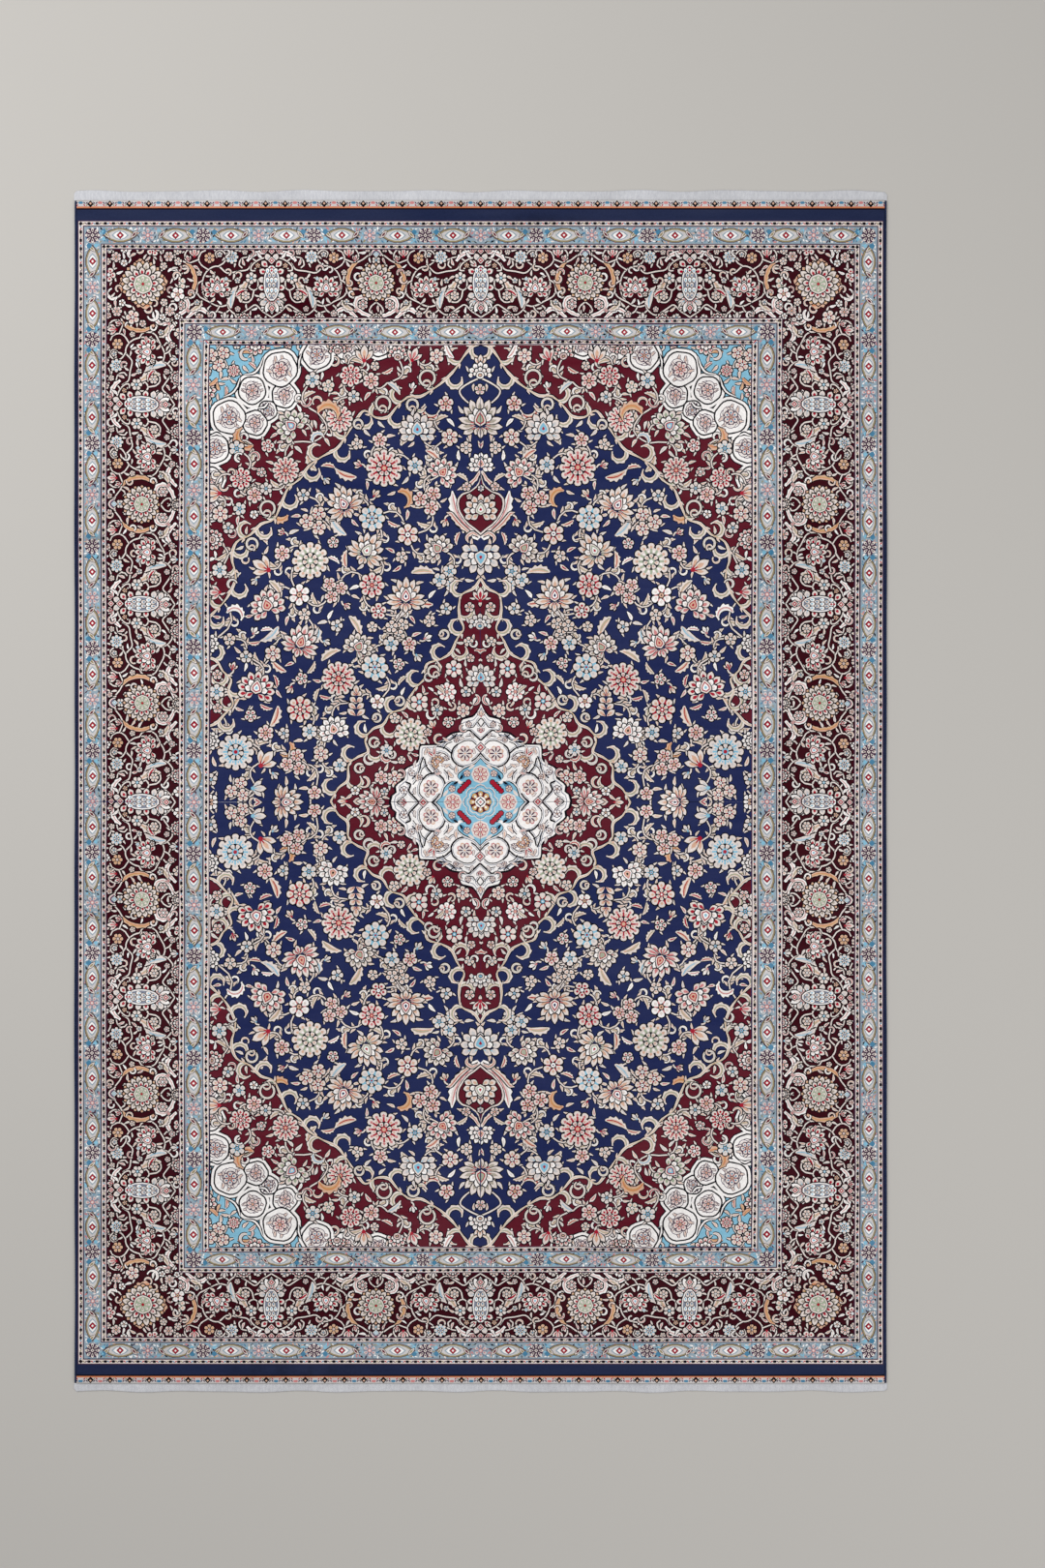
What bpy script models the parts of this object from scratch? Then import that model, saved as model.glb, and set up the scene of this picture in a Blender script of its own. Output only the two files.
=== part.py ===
"""A persian medallion rug lying flat: a woven pile body, an overcast cord down each long side
and a plain cotton strip sewn across each end.

The rug is 2 m wide (X) and just under 3 m long (Y). Its origin is under the middle of the
rug, on the surface that it lies on.
"""

import math
from dataclasses import dataclass

import bmesh
import bpy

# Driving dimensions, in metres.
RUG_WIDTH = 2.000
RUG_LENGTH = 2.958
SEAM_GAP = 0.0003

PILE_HEIGHT = 0.0070
PILE_EDGE_ROUNDING = 0.0016
CORD_WIDTH = 0.0055
CORD_HEIGHT = 0.0056
CORD_ROUNDING = 0.0024
HEAD_STRIP_WIDTH = 0.0268
FOOT_STRIP_WIDTH = 0.0240
STRIP_THICKNESS = 0.0030
STRIP_ROUNDING = 0.0009
STRIP_CORNER_RADIUS = 0.0060

# How finely each piece is divided across (X) and along (Y).
PILE_CELLS = (26, 38)
CORD_CELLS = (1, 40)
STRIP_CELLS = (84, 2)
ROUNDING_STEPS = 2
CORD_ROUNDING_STEPS = 3


@dataclass(frozen=True)
class Wave:
    """One gentle wave: its height, its length and where along the piece it starts."""

    height: float
    length: float
    start: float

    def at(self, distance):
        return self.height * math.sin(2 * math.pi * (distance - self.start) / self.length)


# The weave pulls in a little here and there, so no edge is quite straight.
HEAD_EDGE_WAVES = (
    Wave(height=0.0016, length=0.262, start=0.045),
    Wave(height=0.0009, length=0.171, start=0.020),
    Wave(height=0.0006, length=0.940, start=0.300),
)
FOOT_EDGE_WAVES = (
    Wave(height=0.0015, length=0.248, start=0.110),
    Wave(height=0.0009, length=0.158, start=0.070),
    Wave(height=0.0006, length=0.870, start=0.100),
)
SIDE_EDGE_WAVES = (
    Wave(height=0.0007, length=1.370, start=0.200),
    Wave(height=0.0004, length=0.410, start=0.090),
)
EDGE_STATIONS = 600
# The pile lies in very low swells, across the rug and slantwise.
SWELLS_ACROSS = (
    Wave(height=0.00030, length=0.830, start=0.110),
    Wave(height=0.00020, length=0.370, start=0.260),
)
SWELLS_ALONG = (
    Wave(height=0.00035, length=0.960, start=0.350),
    Wave(height=0.00025, length=0.430, start=0.050),
)
SLANT_SWELL = Wave(height=0.00030, length=1.250, start=0.500)
SLANT = math.radians(32)


def wave_sum(waves, distance):
    return sum(wave.at(distance) for wave in waves)


def pile_swell(x, y):
    """How far the pile stands above or below its mean height."""
    slanted = x * math.cos(SLANT) + y * math.sin(SLANT)
    return wave_sum(SWELLS_ACROSS, x) + wave_sum(SWELLS_ALONG, y) + SLANT_SWELL.at(slanted)


def crest(waves, half_run):
    """The furthest that these waves reach along an edge this long each way from its middle."""
    stations = (half_run * (2 * step / EDGE_STATIONS - 1) for step in range(EDGE_STATIONS + 1))
    return max(wave_sum(waves, station) for station in stations)


SIDE_CREST = crest(SIDE_EDGE_WAVES, RUG_LENGTH / 2)
HEAD_CREST = crest(HEAD_EDGE_WAVES, RUG_WIDTH / 2)
FOOT_CREST = crest(FOOT_EDGE_WAVES, RUG_WIDTH / 2)


def corner_drop(distance):
    """How much a rounded corner takes off the edge at this distance from the strip's end."""
    if distance >= STRIP_CORNER_RADIUS:
        return 0.0
    reach = STRIP_CORNER_RADIUS - distance
    return STRIP_CORNER_RADIUS - math.sqrt(STRIP_CORNER_RADIUS**2 - reach**2)


def eased(share):
    """Moves evenly spaced shares towards both ends, so that a strip's corners get more points."""
    return share - 0.14 * math.sin(2 * math.pi * share) / math.pi


def side_line(side, y):
    """X of the outer face of a long side's cord."""
    return side * (RUG_WIDTH / 2 - SIDE_CREST + wave_sum(SIDE_EDGE_WAVES, side * y))


def pile_end(end):
    """Y of the end of the pile, where the strip is sewn on."""
    strip = HEAD_STRIP_WIDTH if end > 0 else FOOT_STRIP_WIDTH
    return end * (RUG_LENGTH / 2 - strip)


def pile_point(across, along):
    """Top of the pile at these shares of its width and length."""
    y = pile_end(-1) + along * (pile_end(1) - pile_end(-1))
    inset = CORD_WIDTH + SEAM_GAP
    left = side_line(-1, y) + inset
    right = side_line(1, y) - inset
    x = left + across * (right - left)
    return x, y, PILE_HEIGHT + pile_swell(x, y)


def cord_point(side):
    """The top of one side's cord, as a function of shares across and along it."""

    def point(across, along):
        y = pile_end(-1) + along * (pile_end(1) - pile_end(-1))
        x = side_line(side, y)
        inner = x - side * CORD_WIDTH
        first, last = min(x, inner), max(x, inner)
        return first + across * (last - first), y, CORD_HEIGHT

    return point


def strip_point(end):
    """The top of one end's strip, as a function of shares across and along it."""
    waves, furthest = (HEAD_EDGE_WAVES, HEAD_CREST) if end > 0 else (FOOT_EDGE_WAVES, FOOT_CREST)

    def point(across, along):
        x = (eased(across) - 0.5) * RUG_WIDTH
        taken = corner_drop(RUG_WIDTH / 2 - abs(x))
        sewn = pile_end(end) + end * SEAM_GAP
        outer = end * (RUG_LENGTH / 2 - furthest + wave_sum(waves, x) - taken)
        first, last = min(sewn, outer), max(sewn, outer)
        return x, first + along * (last - first), STRIP_THICKNESS

    return point


def lie_flat(name, cells, point, rounding, steps):
    """A closed sheet with this top and a flat underside at Z 0, its upper rim rounded."""
    bm = bmesh.new()
    across, along = cells
    bmesh.ops.create_grid(bm, x_segments=across, y_segments=along, size=0.5)
    for vert in bm.verts:
        vert.co = point(vert.co.x + 0.5, vert.co.y + 0.5)
    rim = [edge for edge in bm.edges if edge.is_boundary]
    skirt = bmesh.ops.extrude_edge_only(bm, edges=rim)["geom"]
    floor_rim = [item for item in skirt if isinstance(item, bmesh.types.BMEdge) and item.is_boundary]
    for vert in {vert for edge in floor_rim for vert in edge.verts}:
        vert.co.z = 0.0
    bmesh.ops.contextual_create(bm, geom=floor_rim)
    bmesh.ops.recalc_face_normals(bm, faces=bm.faces)
    bmesh.ops.bevel(
        bm,
        geom=[edge for edge in rim if edge.is_valid],
        offset=rounding,
        offset_type="OFFSET",
        segments=steps,
        profile=0.5,
        affect="EDGES",
        material=-1,
    )
    mesh = bpy.data.meshes.new(name)
    bm.to_mesh(mesh)
    bm.free()
    mesh.shade_smooth()
    mesh.set_sharp_from_angle(angle=math.radians(50))
    return mesh


def cloth(name, colour, roughness):
    """A plain woven or piled finish of this colour."""
    material = bpy.data.materials.new(name)
    material.use_nodes = True
    shader = material.node_tree.nodes["Principled BSDF"]
    shader.inputs["Base Color"].default_value = (*colour, 1.0)
    shader.inputs["Roughness"].default_value = roughness
    shader.inputs["Metallic"].default_value = 0.0
    shader.inputs["Sheen Weight"].default_value = 0.3
    return material


def clear_scene():
    for item in list(bpy.data.objects):
        bpy.data.objects.remove(item, do_unlink=True)


def build_rug():
    """Lays the rug's five pieces in their collection."""
    rug = bpy.data.collections.new("persian_rug")
    bpy.context.scene.collection.children.link(rug)
    wool = cloth("pile_wool", colour=(0.105, 0.075, 0.105), roughness=0.92)
    overcast = cloth("overcast_yarn", colour=(0.020, 0.034, 0.100), roughness=0.85)
    cotton = cloth("plain_cotton", colour=(0.720, 0.720, 0.745), roughness=0.90)

    def add(name, cells, point, rounding, steps, material):
        piece = bpy.data.objects.new(name, lie_flat(name, cells, point, rounding, steps))
        piece.data.materials.append(material)
        rug.objects.link(piece)

    add("rug_body", PILE_CELLS, pile_point, PILE_EDGE_ROUNDING, ROUNDING_STEPS, wool)
    for side, word in ((-1, "left"), (1, "right")):
        name = f"side_cord_{word}"
        add(name, CORD_CELLS, cord_point(side), CORD_ROUNDING, CORD_ROUNDING_STEPS, overcast)
    for end, word in ((-1, "foot"), (1, "head")):
        name = f"end_strip_{word}"
        add(name, STRIP_CELLS, strip_point(end), STRIP_ROUNDING, ROUNDING_STEPS, cotton)


clear_scene()
build_rug()
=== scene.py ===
"""Looks of a persian medallion rug: its pile pattern, foundation, edge cords and end strips.

The pattern is drawn as flat shapes in millimetres, for one quarter of the rug, with X from the
long axis towards a side and Y from the short axis towards the head. The quarter is woven into a
mesh whose faces carry their yarn's colour, and mirrored to the other three.
"""

import logging
import math
from dataclasses import dataclass, field
from enum import Enum
from typing import Callable, Iterable, NamedTuple

import bmesh
import bpy
import numpy as np
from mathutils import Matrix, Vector
from mathutils.geometry import delaunay_2d_cdt


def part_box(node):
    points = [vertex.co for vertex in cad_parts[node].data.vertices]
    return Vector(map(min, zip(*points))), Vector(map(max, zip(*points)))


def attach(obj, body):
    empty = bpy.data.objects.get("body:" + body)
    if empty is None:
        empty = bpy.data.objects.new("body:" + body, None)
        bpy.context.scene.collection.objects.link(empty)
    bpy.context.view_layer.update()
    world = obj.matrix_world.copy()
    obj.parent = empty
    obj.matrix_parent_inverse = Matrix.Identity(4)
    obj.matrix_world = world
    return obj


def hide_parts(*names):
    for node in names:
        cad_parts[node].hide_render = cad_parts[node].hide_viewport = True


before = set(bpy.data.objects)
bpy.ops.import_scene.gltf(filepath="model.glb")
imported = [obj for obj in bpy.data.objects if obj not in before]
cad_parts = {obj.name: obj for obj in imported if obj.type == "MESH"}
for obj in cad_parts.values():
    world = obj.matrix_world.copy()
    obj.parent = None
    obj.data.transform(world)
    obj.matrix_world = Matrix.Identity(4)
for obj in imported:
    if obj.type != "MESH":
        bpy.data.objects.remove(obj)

LOG = logging.getLogger("persian_rug")
MM = 0.001
PHOTO_WIDTH, PHOTO_HEIGHT = 1080, 1620

Pair = tuple[float, float]
Socket = bpy.types.NodeSocket


class Dye(Enum):
    """The yarn colours, as 8-bit sRGB."""

    NAVY = (34, 42, 84)
    PLAIN = (34, 42, 72)
    MAROON = (92, 24, 38)
    COCOA = (56, 8, 19)
    DUSK = (16, 5, 10)
    INK = (12, 8, 18)
    PLUM = (72, 48, 70)
    CREAM = (225, 213, 207)
    IVORY = (244, 240, 238)
    PEBBLE = (202, 198, 198)
    SAND = (172, 162, 148)
    PEACH = (214, 172, 148)
    GOLD = (200, 164, 110)
    ORANGE = (206, 128, 92)
    OLIVE = (150, 138, 104)
    ROSE = (202, 128, 128)
    MADDER = (166, 30, 50)
    SKY = (132, 186, 210)
    MIST = (146, 164, 176)
    TEAL = (74, 128, 160)
    SAGE = (160, 172, 148)
    STEEL = (128, 134, 150)

    def linear(self) -> tuple[float, float, float, float]:
        """The colour as the shader reads it."""
        parts = [part / 255 for part in self.value]
        red, green, blue = (
            part / 12.92 if part <= 0.04045 else ((part + 0.055) / 1.055) ** 2.4
            for part in parts
        )
        return red, green, blue, 1.0


# --------------------------------------------------------------------------- outlines


def disc(radius: float, steps: int = 12) -> np.ndarray:
    """A round outline about the origin."""
    angle = np.linspace(0, 2 * np.pi, steps, endpoint=False)
    return radius * np.column_stack([np.cos(angle), np.sin(angle)])


def oval(width: float, height: float, steps: int = 14) -> np.ndarray:
    """An oval outline about the origin."""
    return disc(0.5, steps) * (width, height)


def scallop(radius: float, lobes: int, depth: float, steps: int = 3) -> np.ndarray:
    """A flower outline with its first lobe pointing up.

    Args:
        radius: Reach of a lobe's tip, in millimetres.
        lobes: How many round lobes there are.
        depth: How deep the notches go, as a share of the radius.
        steps: Points in each lobe.

    Returns:
        The outline's points.
    """
    angle = np.linspace(0, 2 * np.pi, lobes * steps, endpoint=False)
    swell = np.abs(np.cos(lobes * angle / 2)) ** 0.6
    reach = radius * (1 - depth * (1 - swell))
    return np.column_stack([reach * np.sin(angle), reach * np.cos(angle)])


def blade(
    length: float, width: float, fullest: float = 1.0, start: float = 0.0, steps: int = 5
) -> np.ndarray:
    """A leaf outline from (0, start) up to its tip.

    Args:
        length: Distance from the base to the tip.
        width: Its full width.
        fullest: 1 puts the widest place in the middle, less moves it to the base.
        start: How far up the base lies.
        steps: Points on each side between the base and the tip.

    Returns:
        The outline's points.
    """
    along = np.linspace(0, 1, steps + 2)
    half = width / 2 * np.sin(np.pi * along**fullest) ** 0.8
    right = np.column_stack([half, start + along * length])
    left = right[-2:0:-1] * (-1, 1)
    return np.vstack([right, left])


def petal_of(start: float, end: float, width: float) -> np.ndarray:
    """A petal outline with a narrow foot and a blunt tip, this far from the flower's middle."""
    along = np.array([0.0, 0.34, 0.7, 0.92, 1.0, 0.92, 0.7, 0.34])
    across = np.array([0.1, 0.38, 0.5, 0.34, 0.0, -0.34, -0.5, -0.38])
    return np.column_stack([across * width, start + along * (end - start)])


def smooth(points: Iterable[Pair], steps: int = 4) -> np.ndarray:
    """A smooth curve through these points, with this many steps from each to the next."""
    knots = np.array(list(points), float)
    knots = np.vstack([2 * knots[0] - knots[1], knots, 2 * knots[-1] - knots[-2]])
    share = np.linspace(0, 1, steps, endpoint=False)[:, None]
    runs = []
    for before, first, last, after in zip(knots, knots[1:], knots[2:], knots[3:]):
        bend = 2 * before - 5 * first + 4 * last - after
        twist = 3 * (first - last) + after - before
        runs.append(first + 0.5 * share * (last - before + share * (bend + share * twist)))
    return np.vstack([*runs, knots[-2]])


def bow(start: np.ndarray, end: np.ndarray, lean: float, steps: int = 7) -> np.ndarray:
    """An arched line from start to end, leaning to its left by this share of its length."""
    start, end = np.asarray(start, float), np.asarray(end, float)
    run = end - start
    aside = np.array([-run[1], run[0]]) * lean
    share = np.linspace(0, 1, steps)[:, None]
    return start + share * run + np.sin(np.pi * share) * aside


def spine(length: float, bend: float, steps: int) -> np.ndarray:
    """A line of this length that starts up from the origin and turns left by bend radians."""
    share = (np.arange(steps) + 0.5) / steps
    heading = bend * share
    step = length / steps
    moves = np.column_stack([-np.sin(heading), np.cos(heading)]) * step
    return np.vstack([[0, 0], np.cumsum(moves, axis=0)])


def sides_of(line: np.ndarray, half: np.ndarray) -> tuple[np.ndarray, np.ndarray]:
    """The left and right edges of a line that is this wide each way at each point."""
    along = np.gradient(line, axis=0)
    along /= np.maximum(np.linalg.norm(along, axis=1, keepdims=True), 1e-9)
    aside = np.column_stack([-along[:, 1], along[:, 0]]) * np.asarray(half)[:, None]
    return line + aside, line - aside


# --------------------------------------------------------------------------- the chart


@dataclass(frozen=True)
class Spot:
    """Where a motif goes: its middle, how far it is turned to the left and if it is mirrored."""

    x: float = 0.0
    y: float = 0.0
    turn: float = 0.0
    mirrored: bool = False

    def put(self, points: np.ndarray) -> np.ndarray:
        """The points moved from the motif's own place to this one."""
        points = np.asarray(points, float) * (-1 if self.mirrored else 1, 1)
        cosine, sine = math.cos(math.radians(self.turn)), math.sin(math.radians(self.turn))
        return points @ np.array([[cosine, sine], [-sine, cosine]]) + (self.x, self.y)

    def within(self, x: float, y: float, turn: float = 0.0, mirrored: bool = False) -> "Spot":
        """A spot placed in this one's own directions."""
        middle = self.put(np.array([[x, y]]))[0]
        own = -turn if self.mirrored else turn
        return Spot(middle[0], middle[1], self.turn + own, self.mirrored != mirrored)


@dataclass
class Chart:
    """Flat shapes in laying order, the later ones covering the earlier, and the room they take."""

    shapes: list[tuple[np.ndarray, Dye]] = field(default_factory=list)
    taken: list[tuple[float, float, float]] = field(default_factory=list)

    def lay(self, outline: np.ndarray, dye: Dye, spot: Spot = Spot()) -> None:
        """Lays one outline, at a spot."""
        self.shapes.append((spot.put(outline), dye))

    def box(self, low: Pair, high: Pair, dye: Dye) -> None:
        """Lays an upright rectangle."""
        self.lay(np.array([low, (high[0], low[1]), high, (low[0], high[1])], float), dye)

    def frame(self, outer: Pair, inner: Pair, dye: Dye) -> None:
        """Lays a stripe round the quarter, between two distances across and along."""
        (far_x, far_y), (near_x, near_y) = outer, inner
        corners = ((near_x, 0), (far_x, 0), (far_x, far_y), (0, far_y), (0, near_y), (near_x, near_y))
        self.lay(np.array(corners, float), dye)

    def strip(self, left: np.ndarray, right: np.ndarray, dye: Dye) -> None:
        """Lays four-sided pieces in a row between two edges, so that the strip may cross itself."""
        for corners in zip(left, right, right[1:], left[1:]):
            self.shapes.append((np.array(corners), dye))

    def ribbon(self, line: np.ndarray, half: np.ndarray | float, dye: Dye) -> None:
        """Lays a line that is this wide each way, all along or at each of its points."""
        self.strip(*sides_of(line, np.broadcast_to(half, len(line))), dye)

    def claim(self, spot: Spot, radius: float, x: float = 0.0, y: float = 0.0) -> None:
        """Marks a round place as taken."""
        middle = spot.put(np.array([[x, y]]))[0]
        self.taken.append((middle[0], middle[1], radius))

    def claim_line(self, line: np.ndarray, radius: float) -> None:
        """Marks the places along a line as taken."""
        self.taken.extend((x, y, radius) for x, y in line)

    def add(self, other: "Chart", move: Callable[[np.ndarray], np.ndarray]) -> None:
        """Lays all of another chart's shapes, each of its points moved by this function."""
        self.shapes.extend((move(outline), dye) for outline, dye in other.shapes)


class Dress(Enum):
    """What colours a flower wears: rim, petals, marks on them, heart and eye."""

    BLUSH = (Dye.CREAM, Dye.ROSE, Dye.MADDER, Dye.PEACH, Dye.MADDER)
    HONEY = (Dye.CREAM, Dye.PEACH, Dye.MADDER, Dye.IVORY, Dye.NAVY)
    FROST = (Dye.CREAM, Dye.PEBBLE, Dye.SKY, Dye.SKY, Dye.MADDER)
    MOSS = (Dye.CREAM, Dye.PEACH, Dye.SAGE, Dye.IVORY, Dye.MADDER)
    RUBY = (Dye.CREAM, Dye.MADDER, Dye.MADDER, Dye.IVORY, Dye.SKY)
    PEARL = (Dye.IVORY, Dye.CREAM, Dye.ROSE, Dye.PEACH, Dye.INK)
    OPAL = (Dye.CREAM, Dye.SAND, Dye.MADDER, Dye.SAGE, Dye.SAND)
    TIPPED = (Dye.CREAM, Dye.MADDER, Dye.CREAM, Dye.SAGE, Dye.SAND)
    GOLD = (Dye.PEACH, Dye.GOLD, Dye.ORANGE, Dye.CREAM, Dye.MADDER)
    TEAL = (Dye.CREAM, Dye.SAGE, Dye.MADDER, Dye.SKY, Dye.CREAM)
    RUBIED = (Dye.CREAM, Dye.CREAM, Dye.MADDER, Dye.SKY, Dye.IVORY)
    CORNER = (Dye.CREAM, Dye.TEAL, Dye.MADDER, Dye.PEACH, Dye.INK)


class Kind(Enum):
    """The motifs that the needle knows."""

    DAISY = "five round petals"
    SIX = "six round petals"
    EIGHT = "eight petals round a small flower"
    SUN = "a broad flower in three rings of petals"
    PALMETTE = "a fan of petals round a heart, seen from the side"
    LOTUS = "long pointed petals round a heart, seen from the side"
    FAN = "half a rosette on a pair of curls"
    TULIP = "three petals on a cup"
    CLUSTER = "three daisies and their leaves"
    LEAF = "a serrated leaf"
    CURL = "an acanthus leaf curled round"
    VOLUTE = "a slim leaf curled into a ring"
    SPRIG = "a small plain leaf"
    CONE = "petals in pairs down a stalk"
    HOOK = "a small curled tendril"
    DIAMOND = "a small lozenge flower"
    BURST = "fine dark strokes round a heart"


class Green(NamedTuple):
    """A leaf's or tendril's make.

    Attributes:
        bend: How far it turns over its length, in radians.
        width: Its width, as a share of its length.
        teeth: How many teeth its right edge has.
        steps: How many pieces it is drawn in.
        fullest: 1 puts the widest place in the middle, less moves it to the foot.
        least: Half its least width, in millimetres.
    """

    bend: float
    width: float
    teeth: int
    steps: int
    fullest: float
    least: float


GREENS = {
    Kind.LEAF: Green(1.1, 0.3, 5, 15, 0.8, 1.2),
    Kind.CURL: Green(3.4, 0.22, 7, 24, 0.8, 1.8),
    Kind.VOLUTE: Green(4.1, 0.16, 5, 17, 0.8, 1.4),
    Kind.SPRIG: Green(0.7, 0.36, 0, 4, 0.62, 0.8),
    Kind.HOOK: Green(3.9, 0.15, 0, 8, 0.62, 1.7),
}


class Bloom(NamedTuple):
    """A motif's kind, place in millimetres, size, turn to the left in degrees, and colours."""

    kind: Kind
    x: float
    y: float
    size: float
    turn: float
    dress: Dress


def blooms(table: str) -> tuple[Bloom, ...]:
    """Reads a table whose rows give kind, x, y, size, turn and colours."""
    rows = (row.upper().split() for row in table.split(";"))
    return tuple(Bloom(Kind[kind], *map(float, numbers), Dress[dress]) for kind, *numbers, dress in rows)


@dataclass
class Needle:
    """Draws the rug's motifs on a chart, in millimetres.

    Attributes:
        chart: What the motifs are laid on.
        shade: The dark line round each motif.
        line: How broad that line is.
    """

    chart: Chart
    shade: Dye = Dye.INK
    line: float = 2.3

    def draw(self, kind: Kind, spot: Spot, size: float, dress: Dress) -> None:
        """Draws a motif of this kind.

        Args:
            kind: Which motif.
            spot: Where its middle or its foot goes.
            size: A flower's radius or a leaf's length.
            dress: Its colours.
        """
        if kind in GREENS:
            self.greenery(kind, spot, size, dress)
        else:
            if size > 14 and kind not in (Kind.DIAMOND, Kind.BURST):
                self.ruff(spot, size)
            getattr(self, kind.name.lower())(spot, size, dress)
            self.chart.claim(spot, size)

    def draw_all(self, table: tuple[Bloom, ...]) -> None:
        """Draws every motif of a table."""
        for bloom in table:
            self.draw(bloom.kind, Spot(bloom.x, bloom.y, bloom.turn), bloom.size, bloom.dress)

    def ruff(self, spot: Spot, size: float) -> None:
        """Draws the leaves and tendrils that stick out from under a flower."""
        leaves = 5 if size > 28 else 3
        for index in range(leaves):
            way = spot.within(0, 0, 360 * index / leaves + 7.3 * spot.x, index % 2 == 1)
            dress = (Dress.HONEY, Dress.FROST, Dress.MOSS)[index % 3]
            self.greenery(Kind.SPRIG, way.within(0, size * 0.8, 14), 10 + 0.24 * size, dress)

    def petals(
        self,
        spot: Spot,
        count: int,
        spread: float,
        reach: float,
        width: float,
        dress: Dress,
        inner: float = 0.3,
    ) -> None:
        """Draws petals fanned about the spot, the outermost first.

        Args:
            spot: The foot of the petals.
            count: How many there are.
            spread: Degrees from the first to the last.
            reach: Length of the middle petal.
            width: Width of each.
            dress: Colours; the petals take the rim, petal and mark.
            inner: How far from the foot they start, as a share of the reach.
        """
        rim, petal, mark, _, _ = dress.value
        for index in sorted(range(count), key=lambda one: -abs(one - (count - 1) / 2)):
            aside = index / (count - 1) - 0.5 if count > 1 else 0.0
            length = reach * (1 - inner) * (1 - 0.22 * abs(2 * aside) ** 1.5)
            place = spot.within(0, 0, aside * spread)
            start = inner * reach
            edge = blade(length + 1.6 * self.line, width + 2 * self.line, 1.25, start - 1.2, 4)
            self.chart.lay(edge, self.shade, place)
            self.chart.lay(blade(length, width, 1.25, start, 4), rim, place)
            self.chart.lay(blade(length * 0.6, width * 0.54, 1.2, start + 0.12 * length, 2), petal, place)
            if width > 8:
                self.chart.lay(blade(length * 0.36, width * 0.24, 1.0, start, 1), mark, place)

    def ring(
        self, spot: Spot, count: int, start: float, end: float, dyes: tuple[Dye, Dye], full: float = 0.8
    ) -> None:
        """Draws a ring of parted petals.

        Args:
            spot: The flower's middle.
            count: How many petals there are.
            start: Distance from the middle to their feet.
            end: Distance to their tips.
            dyes: Colour of the petals and of the mark on each.
            full: Share of the ring that the petals take, the rest being the gaps between them.
        """
        width = full * 2 * math.pi * (start + 0.62 * (end - start)) / count
        for index in range(count):
            place = spot.within(0, 0, 360 * index / count)
            self.chart.lay(petal_of(start, end, width), dyes[0], place)
            if width > 5:
                middle = start + 0.22 * (end - start)
                self.chart.lay(blade((end - start) * 0.5, width * 0.5, 1.2, middle, 1), dyes[1], place)

    def rosette(self, spot: Spot, radius: float, lobes: int, dress: Dress) -> None:
        """Draws a round flower: a ring of petals, a ring of marks and a small heart."""
        rim, petal, mark, heart, eye = dress.value
        lay = self.chart.lay
        lay(scallop(radius + self.line, lobes, 0.14, 4), self.shade, spot)
        self.ring(spot, lobes, radius * 0.26, radius, (rim, petal), 0.86)
        if radius > 15:
            self.ring(spot.within(0, 0, 180 / lobes), lobes, radius * 0.24, radius * 0.66, (mark, mark), 0.3)
        lay(disc(radius * 0.3, 7), self.shade, spot)
        lay(disc(radius * 0.24, 6), heart, spot)
        lay(disc(radius * 0.1, 4), eye, spot)

    def daisy(self, spot: Spot, size: float, dress: Dress) -> None:
        """Draws a flower of five round petals."""
        self.rosette(spot, size, 5, dress)

    def six(self, spot: Spot, size: float, dress: Dress) -> None:
        """Draws a flower of six round petals."""
        self.rosette(spot, size, 6, dress)

    def eight(self, spot: Spot, size: float, dress: Dress) -> None:
        """Draws a flower of eight petals with coloured gaps, round a small flower of its own."""
        rim, petal, mark, heart, eye = dress.value
        lay = self.chart.lay
        lay(scallop(size + self.line, 8, 0.12, 4), self.shade, spot)
        lay(scallop(size * 0.82, 8, 0.1), mark, spot)
        self.ring(spot, 8, size * 0.42, size, (rim, petal), 0.82)
        lay(disc(size * 0.5, 10), self.shade, spot)
        self.ring(spot, 6, size * 0.14, size * 0.46, (rim, petal))
        lay(disc(size * 0.2, 6), mark, spot)
        lay(disc(size * 0.1, 4), eye if heart is mark else heart, spot)

    def sun(self, spot: Spot, size: float, dress: Dress) -> None:
        """Draws a broad flower in three rings of petals."""
        rim, petal, mark, heart, eye = dress.value
        lay = self.chart.lay
        lay(scallop(size + self.line, 12, 0.12, 4), self.shade, spot)
        self.ring(spot, 12, size * 0.58, size, (rim, petal), 0.84)
        lay(scallop(size * 0.7, 12, 0.12), mark, spot)
        self.ring(spot.within(0, 0, 15), 12, size * 0.4, size * 0.74, (rim, heart), 0.74)
        lay(disc(size * 0.46, 12), self.shade, spot)
        self.ring(spot, 7, size * 0.16, size * 0.43, (rim, petal))
        lay(disc(size * 0.2, 7), mark, spot)
        lay(disc(size * 0.12, 5), eye if heart is mark else heart, spot)

    def burst(self, spot: Spot, size: float, dress: Dress) -> None:
        """Draws fine dark strokes round a small heart, with pale touches between them."""
        rim, petal, _, heart, _ = dress.value
        for index in range(8):
            between = spot.within(0, 0, 45 * index).within(0, 0, 22.5)
            self.chart.lay(petal_of(size * 0.3, size, size * 0.5), petal if index % 2 else heart, between)
            self.chart.lay(petal_of(size * 0.3, size * 0.86, size * 0.34), rim, between)
        for index in range(8):
            place = spot.within(0, 0, 45 * index)
            self.chart.lay(blade(size * 0.78, size * 0.2, 0.8, size * 0.12, 2), self.shade, place)
        self.chart.lay(disc(size * 0.14, 6), heart, spot)

    def heart_of(self, spot: Spot, width: float, height: float, dress: Dress) -> None:
        """Draws the pointed heart of a side-on flower, in rings."""
        rim, _, mark, heart, eye = dress.value
        for share, dye in ((1.0, self.shade), (0.85, rim), (0.64, mark), (0.47, heart), (0.22, eye)):
            layer = blade(height * share, width * share, 0.62, height * (1 - share) * 0.42, 4)
            self.chart.lay(layer, dye, spot)

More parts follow.
